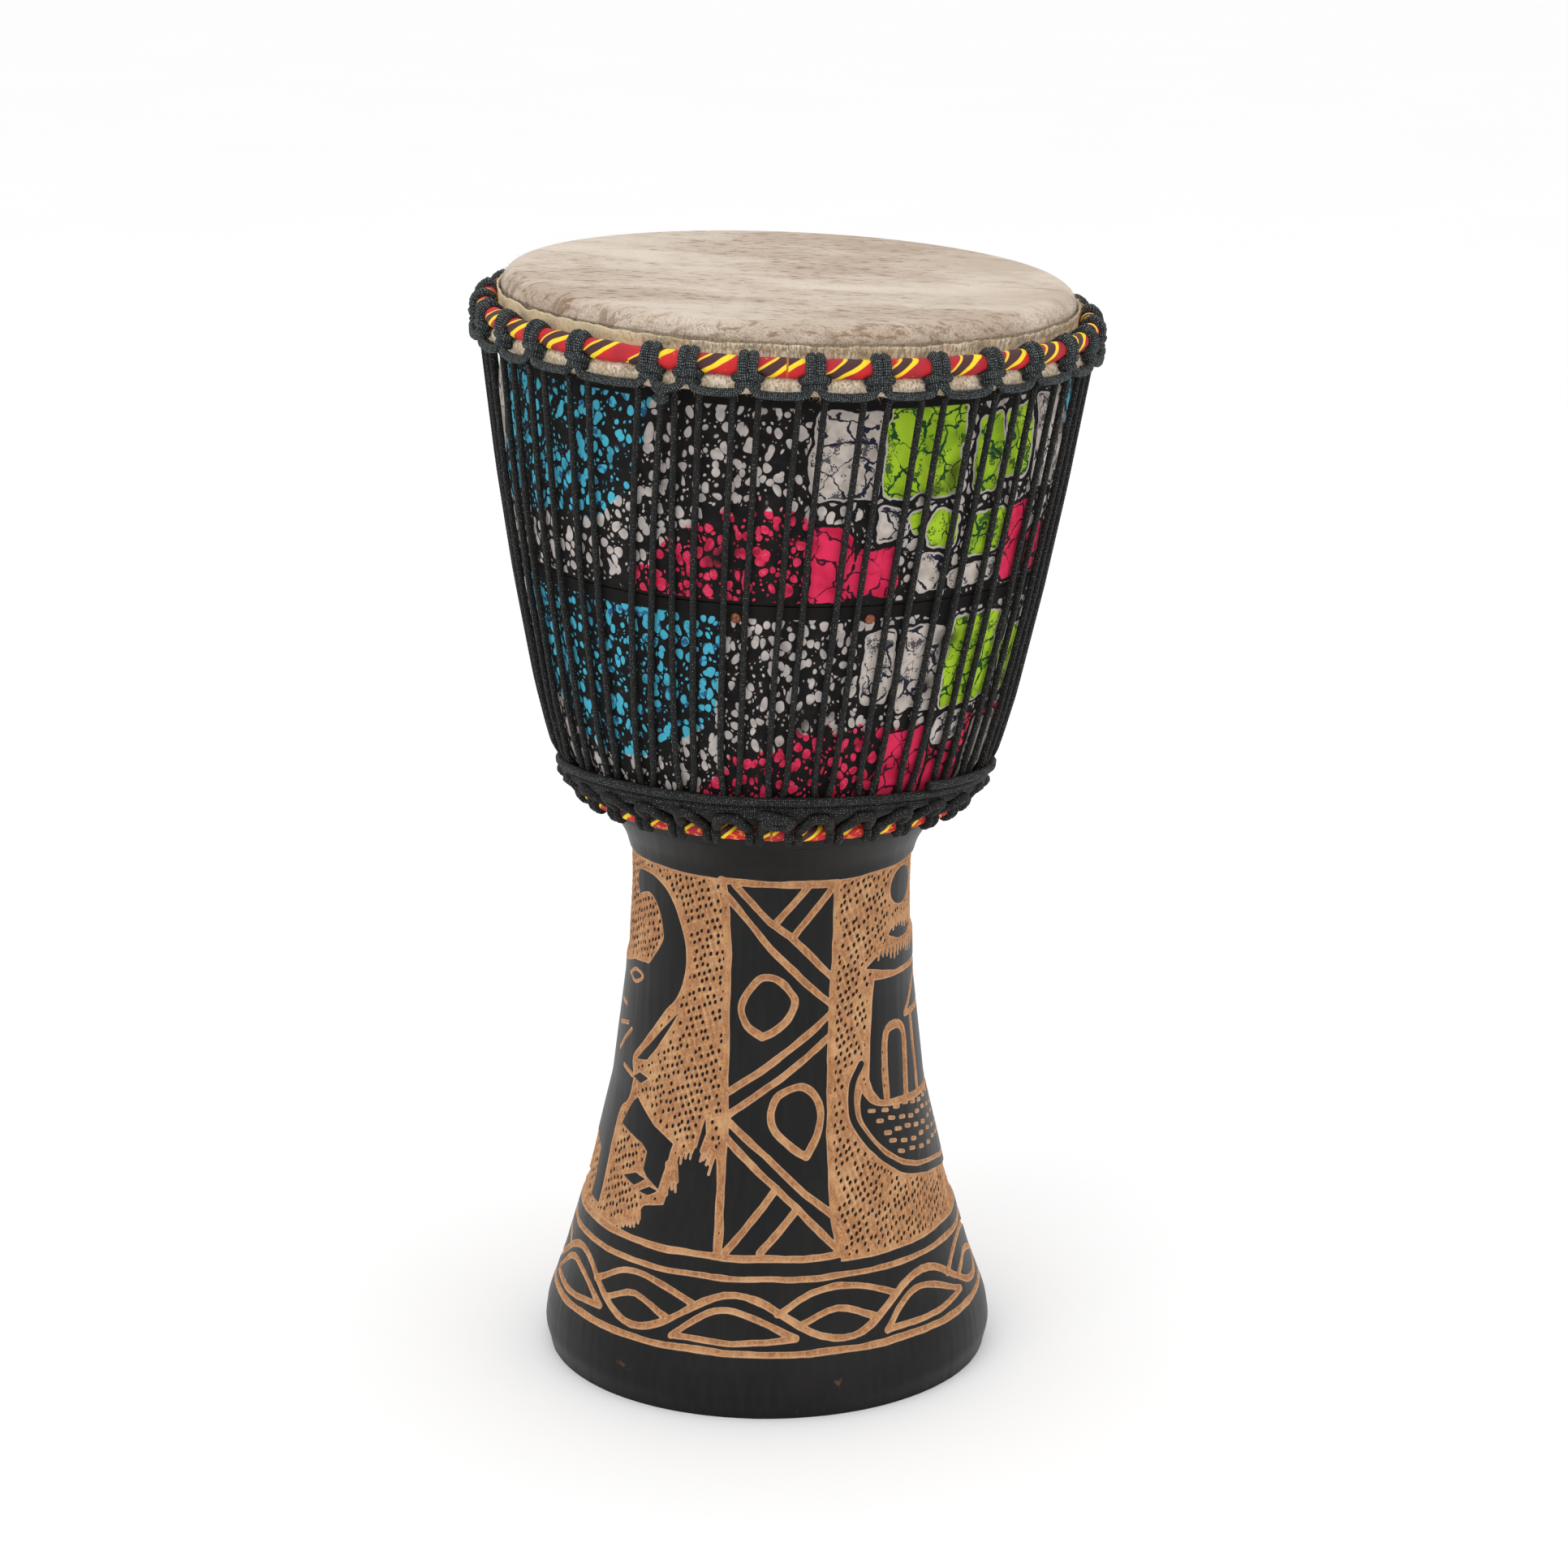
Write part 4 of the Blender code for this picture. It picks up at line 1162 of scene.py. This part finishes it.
def goatskin():
    look = Look("goatskin_dry", 0.62, Specular_IOR_Level=0.3)
    place = look.attribute("place")
    x, y, height = look.parts(place)[:3]
    broad = look.noise(look.warp(look.scale(place, (0.45, 1.0, 1.0)), 14.0, 0.04), 16.0, 5.0, roughness=0.62)
    streak = look.grain(place, (0.34, 1.0, 1.0), 270.0, 5.0, 0.68)
    fine = look.grain(place, (0.6, 1.0, 1.0), 620.0, 4.0, 0.7)
    stubble = look.noise(place, 1100.0, 2.0)
    stains = look.noise(look.add(place, (0.31, 0.12, 0.0)), 30.0, 6.0, roughness=0.66)
    far_right = look.times(look.step(look.plus(x, look.times(y, 0.5)), 0.02, 0.13),
                           look.step(look.noise(place, 22.0, 4.0), 0.36, 0.60), 0.55)
    colour = look.mix(look.step(broad, 0.36, 0.66), "cdc0b0", "b09d8b")
    colour = look.mix(look.times(look.step(streak, 0.51, 0.62), look.step(broad, 0.38, 0.58), 0.90), colour,
                      "7f6852")
    colour = look.mix(look.times(look.step(fine, 0.55, 0.68), 0.34), colour, "82705f")
    colour = look.mix(look.times(look.step(stubble, 0.56, 0.70), 0.22), colour, "71604f")
    colour = look.mix(look.times(look.step(stains, 0.60, 0.74), 0.55), colour, "846c59")
    colour = look.mix(far_right, colour, "a08a76")
    edge = look.times(look.step(height, 0.5998, 0.5965), look.step(height, 0.5870, 0.5900))
    arc = look.times(look.math("ARCTAN2", x, y), SKIN_SIDE_R)
    bruise = look.noise(look.warp(look.vector(arc, look.times(height, 0.35)), 90.0, 0.004), 95.0, 4.0)
    dark_left = look.step(x, 0.060, -0.040)
    stubbly = look.times(edge, look.step(stubble, 0.48, 0.60), 0.36)
    colour = look.mix(stubbly, colour, "7d6352")
    marked = look.times(edge, look.step(bruise, 0.57, 0.63), look.scaled(dark_left, 0.40, 0.20))
    colour = look.mix(marked, colour, "745a43")
    # Painted shadow: a thin dark line on the skin just above the collar's ragged top, where the gap lies in
    # shade.
    collar_gap_shadow = look.times(look.step(height, 0.5912, 0.5904), look.step(height, 0.5880, 0.5890), 0.55)
    colour = look.mix(collar_gap_shadow, colour, "4a3a2e")
    outer = look.step(look.value("zone"), 0.5, 0.6)
    wrap = look.step(look.value("zone"), 1.5, 1.6)
    strands = look.grain(place, (1.0, 1.0, 0.16), 800.0, 4.0, 0.75)
    short = look.grain(place, (1.0, 1.0, 0.55), 900.0, 3.0, 0.7)
    strands = look.plus(look.times(strands, look.minus(1.0, wrap)), look.times(short, wrap))
    hairy = look.mix(look.step(strands, 0.42, 0.62), "ece0c9", "a58d72")
    hairy = look.mix(look.times(look.step(bruise, 0.45, 0.62), 0.45), hairy, "b5976e")
    smooth = look.mix(look.step(fine, 0.45, 0.70), "d6c8a4", "bda983")
    on_left = look.times(look.step(x, -0.045, -0.075), look.minus(1.0, wrap), 0.85)
    hairy = look.mix(on_left, hairy, smooth)
    colour = look.mix(look.times(outer, 0.9), colour, hairy)
    relief = look.plus(look.times(fine, 0.4), look.times(broad, 0.8))
    relief = look.plus(relief, look.times(strands, outer, 1.2))
    return look.finish(colour, relief, 0.0005, 0.5)


def skin_hair():
    look = Look("skin_hair_strands", 0.6)
    colour = look.mix(look.value("shade"), "c4b496", "6e5741")
    banding = look.noise(look.attribute("place"), 1500.0)
    return look.finish(look.mix(look.times(banding, 0.3), colour, "d6c8ae"))


def braided_rope(name, speck_share, dark, light, worn):
    look = Look(name, 0.66, Specular_IOR_Level=0.22)
    travelled, around, _ = look.parts(look.attribute("rope"))[:3]
    lengthwise = look.times(travelled, 2.0 * math.pi / 0.0020)
    turn = look.times(around, 2.0 * math.pi * BRAID)
    a = look.sine(look.plus(lengthwise, turn))
    b = look.sine(look.minus(lengthwise, turn))
    cells = look.times(a, b)
    place = look.attribute("place")
    fuzz = look.noise(place, 1600.0, 2.0)
    patch = look.noise(place, 170.0, 2.0)
    # Raised braid cells take the light colour and the dips the dark one: painted light and shade following
    # the braid's relief.
    colour = look.mix(look.step(cells, -0.6, 0.7), dark, light)
    colour = look.mix(look.times(look.step(patch, 0.4, 0.7), 0.4), colour, worn)
    # Pale grey specks on the raised cells only: painted glints on the fibres.
    specks = look.step(fuzz, 1.0 - speck_share, 1.06 - speck_share)
    speck_glints = look.times(look.step(cells, 0.25, 0.55), specks)
    colour = look.mix(look.times(speck_glints, 0.8), colour, "969b98")
    relief = look.plus(cells, look.times(fuzz, 0.8))
    return look.finish(colour, relief, 0.00035, 0.7)


def striped_ring_cloth(name, flame):
    """Red strip with slanted maroon and yellow stripes; flame is how much orange flicker lies in the red."""
    look = Look(name, 0.72)
    place = look.attribute("place")
    gap, turn = look.value("gap"), look.value("turn")
    bend = look.noise(place, 55.0, 1.0)
    each = look.node("TexWhiteNoise", {"W": look.math("FLOOR", gap)}, 0, noise_dimensions="1D")
    slid = look.minus(look.scaled(bend, 0.30, gap), look.times(turn, 0.24))
    slid = look.plus(slid, look.times(each, 0.22))
    stripe = look.math("FRACT", slid)

    def between(low, high, blur=0.012):
        """1 on the part of the repeat from low to high."""
        start = look.step(stripe, low - blur, low + blur)
        return look.times(start, look.step(stripe, high + blur, high - blur))

    flicker = look.grain(place, (1.0, 1.0, 1.6), 330.0, 2.0)
    red = look.mix(look.step(bend, 0.4, 0.6), "c8161c", "a51226")
    red = look.mix(look.times(look.step(flicker, 0.70 - flame, 0.76 - flame), 0.95), red, "f08a1c")
    colour = look.mix(between(0.40, 0.46), red, "edc92a")
    colour = look.mix(between(0.46, 0.68), colour, "431d20")
    colour = look.mix(between(0.68, 0.80), colour, "f2d21a")
    weave = look.times(look.sine(look.times(gap, 130.0)), look.sine(look.times(turn, 46.0)))
    colour = look.mix(look.times(look.step(look.noise(place, 700.0), 0.55, 0.8), 0.25), colour, "200c0c")
    return look.finish(colour, look.plus(look.times(weave, 0.3), flicker), 0.0003, 0.4)


def printed_pebbles(look, flat, tint, ground):
    """Small rounded shapes, close together, with smaller ones in the gaps."""
    squeezed = look.scale(look.warp(flat, 85.0, 0.0070, 1.0), (1.14, 0.86, 1.0))
    near = look.voronoi(squeezed, 172.0, randomness=0.86)
    own = look.parts(look.voronoi(squeezed, 172.0, output=1, randomness=0.86))[0]
    size = look.scaled(own, 0.17, 0.35)
    pebble = look.step(look.minus(near, size), 0.03, -0.03)
    little = look.voronoi(look.add(squeezed, (0.37, 0.11, 0.0)), 330.0, randomness=0.8)
    filler = look.times(look.step(little, 0.31, 0.26), look.step(near, 0.58, 0.64))
    return look.mix(look.either(pebble, filler), ground, tint)


def printed_shapes(look, flat, shape, colour, ink):
    """Fill of the large shapes: pale border, then the colour with branching veins."""
    green = look.step(look.math("ABSOLUTE", look.minus(colour, GREEN)), 0.5, 0.4)
    pink = look.step(colour, 1.5, 1.6)
    patch = look.step(look.noise(flat, 60.0, 2.0), 0.42, 0.66)
    fill = look.mix(look.step(ink, 0.35, 0.7), "c6bcb3", "aca198")
    fill = look.mix(green, fill, look.mix(patch, "a2c42c", "84a821"))
    fill = look.mix(pink, fill, look.mix(patch, "d92c55", "b81c3f"))
    vein = look.mix(green, "1f2233", "1a4324")
    vein = look.mix(pink, vein, "3a1326")
    branches = look.voronoi(look.warp(flat, 90.0, 0.014, 3.0), 70.0, "DISTANCE_TO_EDGE")
    thick = look.scaled(look.noise(flat, 45.0), 0.16, -0.055)
    fill = look.mix(look.step(branches, look.plus(thick, 0.018), thick), fill, vein)
    cloudy = look.noise(look.warp(flat, 160.0, 0.005), 110.0, 3.0)
    halftone = look.step(look.voronoi(flat, 1000.0), 0.52, 0.44)
    blots = look.either(look.step(cloudy, 0.61, 0.64), look.times(look.step(cloudy, 0.53, 0.56), halftone))
    fill = look.mix(look.times(blots, look.minus(1.0, pink), 0.85), fill, vein)
    border = look.step(shape, -1.25, -1.0)
    return look.mix(look.times(border, look.minus(1.0, pink)), fill, "b3aaa5")


def printed_bowl_cloth():
    """Black ground with pebbles in blue, grey-white and pink, and large veined shapes in green and grey."""
    look = Look("printed_bowl_cloth", 0.80, Specular_IOR_Level=0.15)
    flat = look.attribute("unrolled")
    rough = look.times(look.minus(look.noise(flat, 110.0, 3.0), 0.5), 2.4)
    ink = look.noise(flat, 150.0, 4.0)
    white = look.mix(look.step(ink, 0.35, 0.7), "bfb6b1", "a09894")
    dots = look.step(look.voronoi(flat, 1100.0), 0.36, 0.30)
    blues = look.mix(look.step(ink, 0.56, 0.63), "43aac4", "1d4d7e")
    blues = look.mix(look.times(dots, 0.45), blues, "6db9cc")
    pinks = look.mix(look.step(ink, 0.50, 0.66), "d42c52", "a81a3a")
    pinks = look.mix(look.times(dots, look.step(ink, 0.52, 0.44), 0.55), pinks, "d87a92")
    blue = look.step(look.plus(look.value("blue"), rough), -0.12, 0.12)
    pink = look.step(look.plus(look.value("pink"), rough), -0.12, 0.12)
    tint = look.mix(pink, look.mix(blue, white, blues), pinks)
    ground = look.mix(look.step(ink, 0.4, 0.7), "131111", "1c1a19")
    small = printed_pebbles(look, flat, tint, ground)
    wander = look.times(look.minus(look.noise(flat, 190.0, 2.0), 0.5), 2.2)
    shape = look.plus(look.value("shape"), wander)
    fill = printed_shapes(look, flat, shape, look.value("shape_colour"), ink)
    colour = look.mix(look.step(shape, 1.9, 1.7), small, ground)
    colour = look.mix(look.step(shape, 0.12, -0.12), colour, fill)
    faded = look.step(look.noise(flat, 26.0, 2.0), 0.60, 0.72)
    colour = look.mix(look.times(faded, 0.8), colour, ground)
    hem = look.either(look.step(look.value("from_top"), HEM + 0.0006, HEM),
                      look.step(look.value("from_end"), 0.0020, 0.0014))
    colour = look.mix(hem, colour, "141211")
    x, z = look.parts(flat)[:2]
    weave = look.times(look.sine(look.times(x, 2.0 * math.pi / THREAD)),
                       look.sine(look.times(z, 2.0 * math.pi / THREAD)))
    colour = look.mix(look.times(look.step(weave, 0.0, 1.0), 0.16), colour, "0c0b0b")
    return look.finish(colour, weave, 0.0002, 0.35)


def rusty_iron():
    look = Look("rusty_tack_iron", 0.6, Metallic=0.35)
    place = look.attribute("place")
    rust = look.noise(place, 900.0, 4.0)
    colour = look.mix(look.step(rust, 0.35, 0.6), "4b3226", "93512f")
    colour = look.mix(look.step(rust, 0.62, 0.70), colour, "b08563")
    return look.finish(colour, rust, 0.0002, 0.7)


def ring_steel():
    look = Look("bare_ring_steel", 0.42, Metallic=1.0)
    place = look.node("TexCoord", {}, "Object")
    drawn = look.grain(place, (1.0, 1.0, 6.0), 320.0, 4.0)
    spots = look.noise(place, 90.0, 4.0)
    colour = look.mix(look.step(drawn, 0.3, 0.7), "8c8a86", "b4b1ac")
    colour = look.mix(look.step(spots, 0.62, 0.72), colour, "6e4a36")
    return look.finish(colour, drawn, 0.0001, 0.4)


# ---------------------------------------------------------------- studio

def area_light(name, place, target, size, power):
    data = bpy.data.lights.new(name, "AREA")
    data.shape = "SQUARE"
    data.size = size
    data.energy = power
    light = add_object(name, data)
    light.location = place
    light.rotation_euler = (Vector(target) - Vector(place)).to_track_quat("-Z", "Y").to_euler()


def make_studio():
    half = 60.0
    mesh = bpy.data.meshes.new("floor")
    corners = [(-half, -half, 0), (half, -half, 0), (half, half, 0), (-half, half, 0)]
    mesh.from_pydata(corners, [], [(0, 1, 2, 3)])
    look = Look("pale_floor", 0.9)
    spots = look.noise(look.node("TexCoord", {}, "Object"), 3.0, 3.0)
    look.finish(look.mix(spots, (0.93, 0.93, 0.93), (0.95, 0.95, 0.95)))
    mesh.materials.append(look.material)
    add_object("floor", mesh)
    world = bpy.data.worlds.new("soft_white")
    world.use_nodes = True
    background = world.node_tree.nodes["Background"].inputs
    background["Color"].default_value = (1.0, 1.0, 1.0, 1.0)
    background["Strength"].default_value = 1.04
    bpy.context.scene.world = world
    middle = (0.0, 0.0, 0.35)
    area_light("key", (-1.3, -1.8, 1.9), middle, 1.6, 12.0)
    area_light("fill", (1.9, -1.5, 1.2), middle, 1.8, 6.0)
    area_light("top", (0.2, 0.5, 2.4), middle, 2.0, 6.0)


def make_camera():
    data = bpy.data.cameras.new("photo_camera")
    data.lens = CAMERA_LENS
    data.sensor_width = 36.0
    camera = add_object("photo_camera", data)
    camera.location = CAMERA_PLACE
    camera.rotation_euler = (math.radians(90.0 - CAMERA_TILT), 0.0, 0.0)
    bpy.context.scene.camera = camera
    bpy.context.scene.view_settings.view_transform = "Standard"


def finish_cad_node(node, look):
    """A CAD node that stays shown gets its final material."""
    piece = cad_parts[node]
    piece.data.materials.clear()
    piece.data.materials.append(look)


def build():
    make_camera()
    make_studio()
    wood = painted_carved_wood()
    make_stem(wood)
    make_bowl_wood(wood)
    make_inside_wood(raw_inside_wood())
    make_skin(goatskin())
    make_hair(skin_hair())
    knot_rope = braided_rope("braided_rope_open", 0.52, "0f1314", "242b2e", "2b2f30")
    tail_rope = braided_rope("braided_rope_tail", 0.46, "0d0e0e", "1f2121", "232120")
    taut_rope = braided_rope("braided_rope_taut", 0.42, "0c0c0c", "1e1e1d", "211f1d")
    make_top_loops(knot_rope)
    make_lacing(taut_rope)
    make_tie_off(tail_rope)
    make_bottom_loops(taut_rope)
    make_ring_cloth("crown_cloth", "crown_ring_cloth", RINGS, CROWN_R, CROWN_Z, CROWN_ROD, 960,
                    striped_ring_cloth("crown_stripes", 0.0), 0.0005)
    make_ring_cloth("bottom_cloth", "bottom_ring_cloth", BODY, BOTTOM_R, BOTTOM_Z, BOTTOM_ROD, 480,
                    striped_ring_cloth("bottom_stripes", 0.16), 0.0003)
    printed = printed_bowl_cloth()
    make_bowl_cloth("printed_cloth_upper", "bowl_cloth_upper", CLOTH_TOP + 0.0046, UPPER_END - 0.0030,
                    UPPER_SHAPES, UPPER_BLUE, UPPER_PINK, printed, 81)
    make_bowl_cloth("printed_cloth_lower", "bowl_cloth_lower", LOWER_TOP - 0.0030, CLOTH_END,
                    LOWER_SHAPES, LOWER_BLUE, LOWER_PINK, printed, 91)
    make_tacks(rusty_iron())
    steel = ring_steel()
    for node in ("crown_ring", "flesh_ring", "bottom_ring"):
        finish_cad_node(node, steel)


build()
